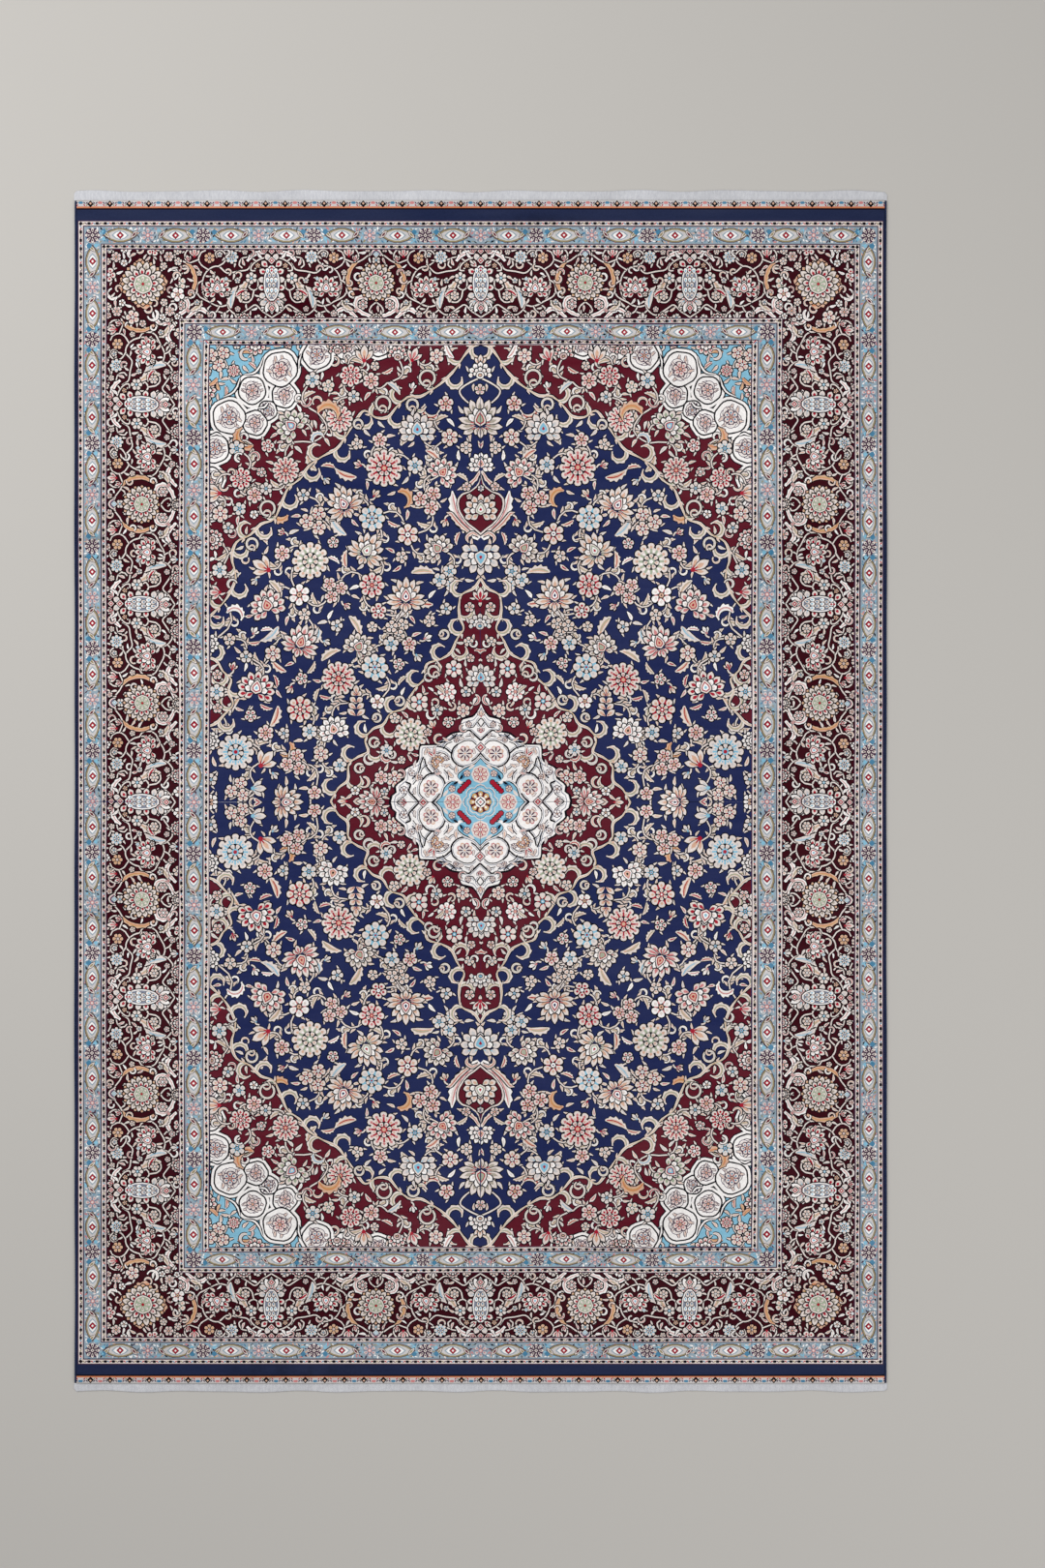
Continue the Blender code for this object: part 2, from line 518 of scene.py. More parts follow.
    def palmette(self, spot: Spot, size: float, dress: Dress) -> None:
        """Draws a fan of round petals about a heart, with two sepals under it."""
        foot = spot.within(0, -size * 0.25)
        self.petals(foot, 4, 250, size * 0.9, size * 0.36, dress, 0.2)
        self.petals(foot, 9, 216, size * 1.24, size * 0.4, dress, 0.45)
        self.petals(foot, 5, 150, size * 0.84, size * 0.36, Dress.PEARL, 0.3)
        self.heart_of(foot.within(0, -size * 0.2), size * 0.8, size, dress)

    def lotus(self, spot: Spot, size: float, dress: Dress) -> None:
        """Draws long pointed petals about a heart, with a crown and a small foot."""
        foot = spot.within(0, -size * 0.3)
        for aside in (-1, 1):
            self.petals(foot.within(0, 0, aside * 84), 4, 66, size * 1.1, size * 0.3, dress, 0.2)
        self.petals(foot, 5, 84, size * 1.32, size * 0.34, dress, 0.3)
        self.petals(foot.within(0, 0, 180), 3, 60, size * 0.62, size * 0.26, dress, 0.2)
        self.petals(foot, 4, 96, size * 0.84, size * 0.3, Dress.PEARL, 0.3)
        self.heart_of(foot.within(0, -size * 0.12), size * 0.62, size * 0.9, dress)

    def fan(self, spot: Spot, size: float, dress: Dress) -> None:
        """Draws half a rosette that stands on a pair of curls."""
        self.petals(spot, 7, 180, size, size * 0.36, dress, 0.5)
        self.petals(spot, 5, 150, size * 0.62, size * 0.3, Dress.PEARL, 0.4)
        self.chart.lay(disc(size * 0.3, 8), self.shade, spot)
        self.chart.lay(disc(size * 0.2, 6), dress.value[3], spot)
        for aside in (-1, 1):
            self.greenery(Kind.HOOK, spot.within(0, -size * 0.2, aside * 100, aside > 0), size * 0.8, dress)

    def tulip(self, spot: Spot, size: float, dress: Dress) -> None:
        """Draws a bud: a cup with a petal curling out on either side."""
        foot = spot.within(0, -size * 0.8)
        for aside in (-38, 38):
            self.petals(foot.within(0, 0, aside), 1, 0, size * 1.7, size * 0.66, dress, 0.05)
        self.petals(foot, 1, 0, size * 2.0, size * 0.86, dress, 0.05)
        self.chart.lay(disc(size * 0.26, 6), dress.value[2], foot.within(0, size * 0.1))

    def cluster(self, spot: Spot, size: float, dress: Dress) -> None:
        """Draws three daisies close together with leaves between them."""
        for turn in (20, 140, 260):
            self.greenery(Kind.SPRIG, spot.within(0, 0, turn + 60), size, Dress.MOSS)
        for turn in (20, 140, 260):
            self.rosette(spot.within(0, 0, turn).within(0, size * 0.54), size * 0.5, 5, dress)

    def cone(self, spot: Spot, size: float, dress: Dress) -> None:
        """Draws pairs of petals down a stalk, larger towards its foot."""
        for row in range(4):
            for aside in (-52, 52):
                place = spot.within(0, size * (-0.8 + 0.42 * row), aside)
                self.petals(place, 1, 0, size * (0.68 - 0.1 * row), size * 0.34, dress, 0.05)
        self.petals(spot.within(0, size * 0.5), 1, 0, size * 0.6, size * 0.34, dress, 0.05)

    def diamond(self, spot: Spot, size: float, dress: Dress) -> None:
        """Draws a small lozenge in rings."""
        rim, _, mark, _, _ = dress.value
        for share, dye in ((1.4, self.shade), (1.1, rim), (0.78, mark), (0.36, rim)):
            self.chart.lay(disc(size * share, 4), dye, spot)

    def greenery(self, kind: Kind, spot: Spot, size: float, dress: Dress) -> None:
        """Draws a leaf or a tendril that starts at the spot.

        Args:
            kind: LEAF, CURL, VOLUTE, SPRIG or HOOK.
            spot: Its foot and the way it sets off; a mirrored spot turns it the other way.
            size: Its length.
            dress: Its colours.
        """
        rim, petal, mark, _, _ = dress.value
        bend, width, teeth, steps, fullest, least = GREENS[kind]
        line = spine(size, bend, steps)
        share = np.linspace(0, 1, len(line))
        half = np.maximum(size * width / 2 * np.sin(np.pi * share**fullest) ** 0.8, least)
        saw = 1 + 0.55 * (teeth > 0) * (1 - np.mod(teeth * share + 0.2, 1.0) * 1.6)
        self.band(line, half + self.line * 0.8, half * saw + self.line * 0.8, self.shade, spot)
        self.band(line, half, half * saw, rim, spot)
        if teeth:
            self.band(line[1:-2], half[1:-2] * 0.5, half[1:-2] * 0.35, petal, spot)
            vein = np.full(len(line) - 5, max(0.9, size * 0.018))
            self.band(line[1:-4], vein, vein, mark, spot)
        elif size > 15:
            self.band(line[1:-1], half[1:-1] * 0.45, half[1:-1] * 0.3, petal, spot)
        for x, y in line[1::3]:
            self.chart.claim(spot, size * width / 2, x, y)

    def band(
        self, line: np.ndarray, left_half: np.ndarray, right_half: np.ndarray, dye: Dye, spot: Spot = Spot()
    ) -> None:
        """Lays a line with its own width on either side."""
        left = spot.put(sides_of(line, left_half)[0])
        right = spot.put(sides_of(line, right_half)[1])
        self.chart.strip(left, right, dye)

    def vine(self, line: np.ndarray, half: float = 1.9, dye: Dye = Dye.CREAM) -> None:
        """Draws a stem with a dark edge, and marks its room."""
        self.chart.ribbon(line, half + self.line * 0.8, self.shade)
        self.chart.ribbon(line, half, dye)
        self.chart.claim_line(line, half + 2)

    def leaf_pair(self, spot: Spot, size: float, dress: Dress) -> None:
        """Draws two leaves that part to either side of a stem."""
        for aside in (-1, 1):
            self.greenery(Kind.SPRIG, spot.within(0, 0, 28 * aside, aside < 0), size, dress)

    def acanthus(self, knots: np.ndarray, half: float, dress: Dress) -> None:
        """Draws a broad leaf along a line, toothed on its left edge and tapered at its tip.

        Args:
            knots: Points that its middle passes through.
            half: Half its greatest width.
            dress: Its colours.
        """
        line = smooth(knots)
        share = np.linspace(0, 1, len(line))
        width = half * (0.35 + 0.65 * np.sin(np.pi * (share * 0.8 + 0.1))) * np.minimum(1, 0.2 + share * 5)
        saw = width * (1.4 - 0.8 * np.mod(np.arange(len(line)) / 3, 1))
        self.band(line, saw + self.line, width + self.line, self.shade)
        self.band(line, saw, width, dress.value[0])
        self.band(line[1:-1], width[1:-1] * 0.5, width[1:-1] * 0.1, dress.value[1])
        self.band(line[1:-1], width[1:-1] * 0, width[1:-1] * 0.3, dress.value[2])
        self.chart.claim_line(line[::2], half)

    def scroll(self, line: np.ndarray, half: float, dress: Dress, pitch: float = 46.0) -> None:
        """Draws an arabesque: a cream band with leaves that curl off to either side in turn.

        Args:
            line: Its middle.
            half: Half its greatest width.
            dress: Its colours.
            pitch: Distance from one leaf to the next.
        """
        run = np.r_[0, np.cumsum(np.linalg.norm(np.diff(line, axis=0), axis=1))]
        width = half * (0.7 + 0.3 * np.sin(np.pi * run / pitch))
        slopes = np.gradient(line, axis=0)
        self.chart.ribbon(line, width + self.line, self.shade)
        for number, reach in enumerate(np.arange(pitch * 0.3, run[-1], pitch)):
            index = int(np.searchsorted(run, reach))
            side = 1 if number % 2 else -1
            heading = math.degrees(math.atan2(slopes[index][1], slopes[index][0])) - 90
            foot = Spot(line[index][0], line[index][1], heading + 14 * side, side < 0)
            self.greenery(Kind.SPRIG, foot.within(0, 6, -70), half * 4, dress)
            self.greenery(Kind.VOLUTE, foot, pitch * 1.55, dress)
        self.chart.ribbon(line, width, dress.value[0])
        self.chart.ribbon(sides_of(line, width * 0.1)[0], 0.7, Dye.GOLD)
        self.chart.claim_line(line, half + 2)

    def eddy(self, spot: Spot, radius: float, ground: Dye, dress: Dress) -> None:
        """Draws a ring curl: a disc of ground in a broad lobed ring, with a bud curling into it."""
        rim, _, mark, _, _ = dress.value
        lay = self.chart.lay
        for turn in range(110, 320, 42):
            lobe = spot.within(0, 0, turn)
            lay(blade(radius * 0.5, radius * 0.62, 1.1, radius * 0.8, 3), self.shade, lobe)
            lay(blade(radius * 0.4, radius * 0.42, 1.1, radius * 0.8, 3), rim, lobe)
        rings = ((-self.line, self.shade), (0, rim), (2.2, mark), (3.0, rim), (5.0, self.shade))
        for inset, dye in (*rings, (6.8, ground)):
            lay(disc(radius - inset, 18), dye, spot)
        self.greenery(Kind.HOOK, spot.within(0, 6 - radius, -20), radius * 1.7, dress)
        self.chart.claim(spot, radius + 2)


# --------------------------------------------------------------------------- the field


@dataclass(frozen=True)
class Bands:
    """Where the borders change, in millimetres from the rug's two axes: (across, along)."""

    field: Pair = (666.0, 1108.0)
    inner_dots: Pair = (683.0, 1121.0)
    inner_guard: Pair = (727.0, 1158.5)
    frame_dots: Pair = (743.0, 1173.5)
    main: Pair = (919.0, 1336.0)
    outer_dots: Pair = (934.5, 1350.0)
    outer_guard: Pair = (976.0, 1390.5)
    edge_dots: Pair = (991.5, 1405.5)
    plain: Pair = (994.2, 1434.0)
    whole: Pair = (994.2, 1453.6)


@dataclass
class FlowerField:
    """The field of one quarter: navy ground with flowers, a maroon band and a light corner.

    Attributes:
        chart: What it is laid on.
        bands: Where it ends.
        seed: Of the small leaves and flowers that fill it.
        leaf: Length of the leaf on each vine.
        tendril: Length of the tendril on each vine.
        small_leaf: Length of each of a vine's paired leaves.
        stem: Half the width of a vine.
    """

    chart: Chart
    bands: Bands
    seed: int = 11
    leaf: float = 38.0
    tendril: float = 34.0
    small_leaf: float = 18.0
    stem: float = 1.7
    # The line between the navy and the maroon, from the long axis round to the side.
    navy_edge: tuple[Pair, ...] = (
        (0, 1112), (22, 1104), (44, 1078), (62, 1050), (92, 1020), (118, 1002), (146, 986),
        (178, 984), (204, 962), (226, 936), (256, 934), (284, 950), (306, 926), (330, 890), (354, 858),
        (390, 840), (424, 816), (446, 786), (474, 764), (490, 728), (508, 690), (540, 678),
        (566, 652), (600, 634), (612, 596), (602, 548), (622, 500), (652, 466), (672, 446),
    )
    side_lobe: tuple[Pair, ...] = (
        (674, 356), (650, 346), (634, 320), (614, 300), (622, 272), (610, 240), (632, 214), (650, 194),
        (674, 184),
    )

    def draw(self) -> None:
        """Draws the whole field of the quarter."""
        across, along = self.bands.inner_dots
        self.chart.box((0, 0), (across, along), Dye.MAROON)
        edge = smooth(self.navy_edge)
        lobe = smooth(self.side_lobe)
        self.chart.lay(np.vstack([edge, [(across, 0), (0, 0)]]), Dye.NAVY)
        self.chart.lay(lobe, Dye.MAROON)
        needle = Needle(self.chart, Dye.INK, 2.6)
        self.corner(needle)
        for table in (FIELD_BLOOMS, BAND_BLOOMS):
            self.vines(needle, table)
        needle.draw_all(FIELD_LEAVES)
        needle.scroll(edge, 3.8, Dress.MOSS)
        needle.scroll(lobe, 3.6, Dress.MOSS)
        for x, y, radius, ground in EDGE_EDDIES:
            needle.eddy(Spot(x, y, 40), radius, ground, Dress.MOSS)
        needle.draw_all(FIELD_BLOOMS + BAND_BLOOMS)
        self.pendants(needle)
        medallion = Medallion(self.chart)
        medallion.draw()
        scatter = Scatter(self.chart, self.seed)
        limits = (0, 0), self.bands.field
        scatter.fill(needle, *limits, MAROON_FILL, lambda x, y: medallion.reach(x, y) < 0.9)
        # The maroon band lies beyond this oval.
        scatter.fill(needle, *limits, MAROON_FILL, lambda x, y: (x / 684) ** 2 + (y / 1140) ** 2 > 1)
        scatter.fill(needle, *limits, FIELD_FILL)

    def vines(self, needle: Needle, table: tuple[Bloom, ...]) -> None:
        """Joins each flower to its nearest joined neighbour with an arched stem and its leaves."""
        places = np.array([(bloom.x, bloom.y) for bloom in table], float)
        joined, waiting = [0], list(range(1, len(places)))
        while waiting:
            gaps = np.linalg.norm(places[joined][:, None] - places[waiting][None], axis=2)
            near, far = np.unravel_index(int(gaps.argmin()), gaps.shape)
            start, end = places[joined[near]], places[waiting[far]]
            lean = 0.4 if len(joined) % 2 else -0.4
            line = bow(start, end, lean)
            run = end - start
            heading = math.degrees(math.atan2(run[1], run[0])) - 90
            spot = Spot(line[3][0], line[3][1], heading)
            needle.greenery(Kind.LEAF, spot.within(0, 0, 42, lean > 0), self.leaf, Dress.MOSS)
            needle.greenery(Kind.HOOK, spot.within(0, 8, -34, lean < 0), self.tendril, Dress.PEARL)
            needle.leaf_pair(spot.within(0, -12), self.small_leaf, Dress.HONEY)
            needle.vine(line, self.stem)
            joined.append(waiting.pop(far))

    def pendants(self, needle: Needle) -> None:
        """Draws the large motifs on the long and short axes."""
        for side in (-1, 1):
            knots = np.array([(0, 1030), (30, 1016), (50, 998), (34, 974), (0, 956)])
            needle.vine(smooth(knots * (side, 1)))
        needle.draw_all(AXIS_BLOOMS)
        for wing, half, dress in PENDANT_WINGS:
            needle.acanthus(np.array(wing), half, dress)
        shield = smooth(PENDANT_SHIELD)
        middle = np.array([0, 720])
        for grow, dye in ((1.12, Dye.INK), (1.08, Dye.CREAM), (1.0, Dye.INK), (0.96, Dye.MAROON)):
            self.chart.lay(np.vstack([(shield - middle) * grow + middle, [middle]]), dye)
        needle.palmette(Spot(0, 714), 37, Dress.MOSS)
        needle.six(Spot(0, 764), 8, Dress.FROST)
        needle.daisy(Spot(35, 768), 11, Dress.BLUSH)
        needle.daisy(Spot(28, 744), 7, Dress.HONEY)
        self.chart.claim(Spot(0, 722), 62)

    def corner(self, needle: Needle) -> None:
        """Draws the light-blue corner with its cloud of ivory cartouches."""
        across, along = self.bands.inner_dots
        outline = smooth(((370, along), (430, 1062), (520, 1010), (590, 950), (640, 890), (across, 800)), 5)
        self.chart.lay(np.vstack([outline, [(across, along)]]), Dye.SKY)
        needle.draw_all(CORNER_BLOOMS)
        pale = Needle(self.chart, Dye.PLUM, 2.1)
        for rim, dye in ((9.5, Dye.INK), (6.5, Dye.IVORY)):
            for x, y, radius in CLOUD_PUFFS:
                self.chart.lay(scallop(radius + rim, 5, 0.1, 5), dye, Spot(x, y, 7 * radius))
        for x, y, radius in CLOUD_PUFFS:
            spot = Spot(x, y, 7 * radius)
            for inset, dye in ((0.0, Dye.INK), (3.8, Dye.IVORY)):
                self.chart.lay(scallop(radius - inset, 5, 0.1, 5), dye, spot)
            for turn in range(0, 360, 72):
                place = spot.within(0, 0, turn, turn % 144 == 0)
                pale.draw(Kind.HOOK, place.within(0, radius * 0.3, 40), radius * 1.1, Dress.PEARL)
                pale.draw(Kind.SPRIG, place.within(0, radius * 0.45, -70), radius * 0.4, Dress.MOSS)
            pale.draw(Kind.SIX, spot, radius * 0.4, (Dress.BLUSH, Dress.CORNER)[radius % 4 // 2])
            self.chart.claim(spot, radius + 6)
        for fold in CLOUD_FOLDS:
            curve = smooth(fold)
            width = 0.6 + np.sin(np.pi * np.linspace(0, 1, len(curve)))
            for half, dye in ((3.4, Dye.INK), (1.3, Dye.IVORY)):
                self.chart.ribbon(curve, half * width, dye)
            self.chart.claim_line(curve, 6)


PENDANT_SHIELD = (
    (0, 792), (7, 770), (24, 756), (44, 748), (54, 732), (50, 708), (32, 682), (14, 668), (0, 656),
)
# Broad leaves that hold the pendant shield: from the tip to the foot, half the width, colours.
PENDANT_WINGS = (
    (((70, 758), (68, 734), (61, 708), (46, 682), (22, 660), (4, 642)), 11.0, Dress.PEARL),
    (((84, 706), (72, 702), (60, 686), (44, 670), (26, 656)), 5.0, Dress.HONEY),
    (((30, 632), (34, 646), (20, 656), (4, 648)), 4.0, Dress.HONEY),
    (((58, 760), (44, 766), (28, 774), (14, 786), (2, 806)), 4.5, Dress.HONEY),
)
# Ring curls along the navy's edge: (x, y, radius, ground).
EDGE_EDDIES = (
    (130, 1030, 21, Dye.MAROON), (166, 966, 16, Dye.NAVY), (238, 968, 20, Dye.MAROON),
    (300, 918, 13, Dye.NAVY), (524, 716, 20, Dye.MAROON), (562, 630, 16, Dye.NAVY),
)
# The ivory cloud's rounds: (x, y, radius).
CLOUD_PUFFS = (
    (250, 1106, 28), (330, 1100, 32), (665, 715, 28), (664, 786, 32), (402, 1084, 38), (654, 860, 38),
    (522, 952, 26), (481, 988, 33),(554, 922, 33), (560, 1000, 36), (492, 1051, 45), (617, 935, 43),
)
# Dark folds of the cloud, towards the corner and towards the field.
CLOUD_FOLDS = (
    ((534, 1080), (542, 1058), (556, 1042), (580, 1038)),
    ((590, 1030), (596, 1010), (608, 994), (630, 984)),
    ((440, 1088), (446, 1070), (446, 1052)),
    ((664, 890), (648, 896), (636, 890)),
    ((520, 972), (530, 960), (546, 958)),
    ((600, 890), (614, 876), (614, 850)),
)
CORNER_BLOOMS = blooms(
    "fan 554 1114 30 180 blush; fan 678 1000 30 90 blush; cluster 646 1078 32 30 honey;"
    "leaf 596 1090 30 60 gold; leaf 646 1030 30 200 gold; leaf 570 1066 26 100 honey;"
    "leaf 626 1010 26 150 honey; eight 606 1047 15 0 ruby; sprig 510 1106 20 70 honey;"
    "sprig 672 956 20 190 honey; daisy 600 1108 9 0 frost; daisy 670 1044 9 0 frost;"
    "daisy 474 1108 10 0 blush; daisy 674 908 10 0 blush; sprig 640 1000 20 -40 gold"
)
BAND_BLOOMS = blooms(
    "eight 318 1034 27 0 ruby; eight 590 788 27 0 ruby; palmette 466 916 37 -50 teal;"
    "sun 346 930 33 0 blush; sun 480 808 33 0 blush; curl 398 944 84 10 gold; curl 560 868 84 232 gold;"
    "six 412 1024 19 0 frost; six 600 860 19 0 frost; six 268 1022 20 0 blush; six 556 748 20 0 blush;"
    "leaf 228 1018 44 100 frost; fan 204 1080 28 10 blush; tulip 286 1084 20 0 honey;"
    "fan 352 1092 24 0 blush;"
    "tulip 164 1084 17 20 blush; six 108 1082 18 0 honey; leaf 66 1078 44 -60 pearl; six 640 702 20 0 honey;"
    "fan 660 640 28 90 blush; tulip 656 752 20 -90 honey; six 642 566 19 0 frost; tulip 652 512 16 -90 blush;"
    "curl 412 874 50 -30 frost; six 310 984 15 0 frost; six 528 764 15 0 frost; six 650 270 19 0 frost;"
    "daisy 648 312 12 0 blush; daisy 648 230 12 0 blush; fan 668 388 26 90 pearl; fan 668 150 26 90 pearl"
)
FIELD_BLOOMS = blooms(
    "palmette 155 908 40 0 frost; six 76 887 21 0 honey; daisy 84 968 19 0 blush; daisy 248 880 18 0 blush;"
    "sun 238 813 45 0 blush; six 162 820 20 0 frost; palmette 93 804 34 40 blush; lotus 338 726 44 -30 honey;"
    "eight 267 691 32 0 frost; cluster 129 736 37 20 blush; six 179 653 26 0 honey;"
    "palmette 107 620 33 -40 opal;"
    "lotus 279 614 44 30 moss; eight 267 529 31 0 blush; lotus 183 505 45 0 honey; cluster 83 546 34 0 frost;"
    "daisy 250 466 20 0 ruby; cluster 202 424 30 30 honey; daisy 436 747 15 0 frost;"
    "cluster 408 684 36 10 honey;"
    "six 488 607 20 0 blush; tulip 536 575 24 -60 honey; sun 419 588 45 0 moss; cluster 360 517 33 60 blush;"
    "six 445 506 26 0 pearl; palmette 524 482 39 -20 blush; daisy 432 458 15 0 honey;"
    "lotus 440 392 44 20 blush;"
    "six 510 364 20 0 honey; daisy 616 398 15 0 honey; daisy 576 356 15 0 frost; palmette 552 281 41 10 ruby;"
    "eight 445 227 32 0 honey; sun 350 300 42 0 blush; palmette 362 177 33 -15 pearl; sun 602 123 45 0 frost;"
    "six 529 170 20 0 blush; six 421 172 19 0 frost; tulip 529 103 24 40 honey; cluster 458 96 34 0 blush;"
    "palmette 298 379 33 30 opal; daisy 219 387 19 0 frost; eight 260 329 33 0 frost;"
    "cone 307 241 40 0 honey;"
    "daisy 174 387 18 0 blush; daisy 255 245 18 0 pearl; six 392 116 19 0 honey; daisy 346 88 17 0 frost;"
    "cluster 596 30 32 0 honey; daisy 408 22 17 0 blush; tulip 548 34 18 90 frost"
)
FIELD_LEAVES = blooms(
    "curl 104 944 66 -150 honey; curl 204 756 70 60 gold; curl 474 700 66 200 gold;"
    "curl 398 424 70 150 frost;"
    "curl 622 462 66 20 pearl; curl 470 146 60 120 gold; leaf 170 560 60 60 moss; leaf 330 650 64 -70 frost;"
    "leaf 196 868 56 20 moss; leaf 306 790 60 -100 honey; leaf 322 452 60 120 moss;"
    "leaf 496 430 60 -160 frost;"
    "leaf 390 344 56 30 moss; leaf 500 236 60 170 honey; leaf 618 212 56 0 moss; leaf 44 656 56 30 moss;"
    "leaf 560 660 50 100 honey; leaf 136 856 50 100 honey; leaf 404 806 50 -60 moss;"
    "leaf 590 560 46 -120 frost; leaf 116 484 54 -100 honey; leaf 330 570 46 -30 honey;"
    "leaf 520 540 50 110 moss; leaf 478 320 50 -80 honey"
)
AXIS_BLOOMS = blooms(
    "tulip 0 1070 13 0 honey; fan 0 1036 32 0 pearl; lotus 0 932 52 0 opal; six 36 862 15 0 honey;"
    "palmette 0 824 27 0 pearl; palmette 0 596 44 180 frost; lotus 476 0 40 90 honey; daisy 0 1002 13 0 blush"
)


# --------------------------------------------------------------------------- the medallion


@dataclass
class Medallion:
    """The centre of the rug: a stepped maroon lozenge, an ivory star and a light-blue roundel."""

    chart: Chart
    half: Pair = (366.0, 546.0)
    # From the head's tip round to the side's tip.
    edge: tuple[Pair, ...] = (
        (0, 546), (16, 522), (44, 508), (52, 484), (50, 452), (40, 424), (56, 400), (72, 366), (98, 350),
        (132, 338), (138, 304), (158, 284), (176, 256), (190, 230), (222, 218), (240, 190), (266, 178),
        (284, 152), (276, 122), (300, 110), (324, 90), (326, 52), (350, 32), (368, 0),
    )

    def reach(self, x: np.ndarray, y: np.ndarray) -> np.ndarray:
        """How far out places lie: 0 in the middle and 1 on the lozenge through the two tips."""
        across, along = self.half
        return x / across + y / along

    def draw(self) -> None:
        """Draws the medallion's quarter."""
        outline = smooth(self.edge)
        self.chart.lay(np.vstack([outline, [(0, 0)]]), Dye.MAROON)
        self.chart.taken = [spot for spot in self.chart.taken if self.reach(spot[0], spot[1]) > 0.97]
        needle = Needle(self.chart, Dye.INK)
        needle.scroll(outline, 3.6, Dress.MOSS)
        for x, y, radius, ground, turn in MEDALLION_EDDIES:
            needle.eddy(Spot(x, y, turn), radius, ground, Dress.MOSS)
        needle.draw_all(MEDALLION_BLOOMS)
        self.star()
        self.roundel(needle)

    def star(self) -> None:
        """Draws the ivory star, its thin dark lines and pale flowers."""
        lay = self.chart.lay
        edge = smooth(STAR_EDGE)
        lay(np.vstack([edge * 1.026, [(0, 0)]]), Dye.INK)
        lay(np.vstack([edge, [(0, 0)]]), Dye.IVORY)
        self.chart.ribbon(edge * 0.965, 0.9, Dye.STEEL)
        for way in (1, -1):
            for half, line in STAR_LINES:
                curve = smooth(line)[:, ::way]
                beside = sides_of(curve, np.full(len(curve), 4.2 * way))[0][1:-1]
                self.chart.ribbon(beside, 0.8, Dye.STEEL)
                self.chart.ribbon(curve, half * 1.45, Dye.INK)
        for x, y in ((0, 110), (112, 0)):
            lay(disc(4.5, 4), Dye.INK, Spot(x, y))
        Needle(self.chart, Dye.PLUM, 1.5).draw_all(STAR_BLOOMS)
        for x, y, radius in STAR_ROOM:
            self.chart.claim(Spot(x, y), radius)

    def roundel(self, needle: Needle) -> None:
        """Draws the light-blue roundel of four ogee lobes and the flower in its middle."""
        edge = smooth(ROUNDEL_EDGE)
        lay = self.chart.lay
        for grow, dye in ((1.07, Dye.STEEL), (1.055, Dye.IVORY), (1.03, Dye.INK), (1.0, Dye.SKY)):
            lay(np.vstack([edge * grow, [(0, 0)]]), dye)
        own = Needle(self.chart, Dye.MAROON, 1.2)
        for turn in (0, -90):
            arm = Spot(0, 0, turn)
            for aside in (-1, 1):
                side = arm.within(0, 0, 0, aside < 0)
                lay(blade(26, 13, 1, -13, 3), Dye.TEAL, side.within(42, 66, 28))
                lay(blade(16, 6, 1, -8, 2), Dye.INK, side.within(47, 61, 34))
                lay(blade(22, 8, 1, -11, 2), Dye.CREAM, side.within(22, 86, 52))
                own.draw(Kind.DAISY, side.within(33, 70), 8, Dress.MOSS)
            lay(scallop(23, 8, 0.14), Dye.CREAM, arm.within(0, 68))
            Needle(self.chart, Dye.MADDER, 0.9).rosette(arm.within(0, 68), 17, 8, Dress.HONEY)
        bar = Spot(40, 38, 45)
        for radius, dye in ((8.2, Dye.INK), (6.2, Dye.MADDER)):
            for tooth in range(5):
                lay(disc(radius, 6), dye, bar.within(0, -15 + 7.5 * tooth))
        rings = ((44, Dye.CREAM), (41.5, Dye.TEAL), (39.5, Dye.SKY), (34, Dye.CREAM), (31.5, Dye.SKY))
        for radius, dye in rings:
            lay(scallop(radius, 8, 0.14, 4), dye)
        lay(scallop(28, 8, 0.2), Dye.MAROON)
        own.ring(Spot(), 8, 11, 27, (Dye.GOLD, Dye.IVORY), 0.72)
        lay(disc(14, 8), Dye.IVORY)
        for radius, dye in ((12, Dye.INK), (8.5, Dye.IVORY), (4, Dye.ROSE)):
            lay(disc(radius, 4), dye)


ROUNDEL_EDGE = (
    (0, 106), (14, 92), (40, 80), (55, 66), (50, 52), (40, 50), (48, 42), (60, 50), (74, 48), (88, 34),
    (94, 14), (108, 0),
)
# Ring curls round the medallion: (x, y, radius, ground, turn).
MEDALLION_EDDIES = (
    (88, 410, 13, Dye.NAVY, 150), (116, 320, 16, Dye.MAROON, 0), (200, 248, 13, Dye.NAVY, 160),
    (256, 206, 12, Dye.NAVY, 140), (262, 146, 14, Dye.MAROON, -20), (298, 82, 13, Dye.MAROON, -30),
)
MEDALLION_BLOOMS = blooms(
    "tulip 0 504 17 0 ruby; daisy 26 476 12 0 blush; fan 0 430 31 0 frost; daisy 28 392 12 0 honey;"
    "curl 14 370 44 60 honey; six 66 326 21 0 rubied; palmette 0 306 33 0 frost; six 152 246 22 0 rubied;"
    "eight 84 270 23 0 pearl; six 44 224 17 0 honey; leaf 112 284 30 100 moss; sun 172 166 41 0 moss;"
    "daisy 108 226 15 0 frost; tulip 120 190 11 -30 honey; six 231 127 16 0 frost; daisy 212 206 13 0 honey;"
    "curl 220 108 40 200 honey; six 211 57 21 0 honey; lotus 268 0 36 -90 blush; six 244 60 17 0 blush;"
    "daisy 308 26 11 0 pearl; tulip 338 0 12 -90 honey; daisy 194 104 10 0 honey; daisy 130 172 10 0 blush;"
    "daisy 24 352 10 0 blush; daisy 236 26 10 0 frost"
)
STAR_EDGE = (
    (0, 240), (6, 226), (20, 208), (44, 202), (50, 186), (46, 172), (72, 166), (104, 142), (132, 140),
    (148, 136), (150, 106), (160, 94), (184, 80), (186, 58), (196, 50), (208, 38), (206, 24),
    (216, 16), (220, 0),
)
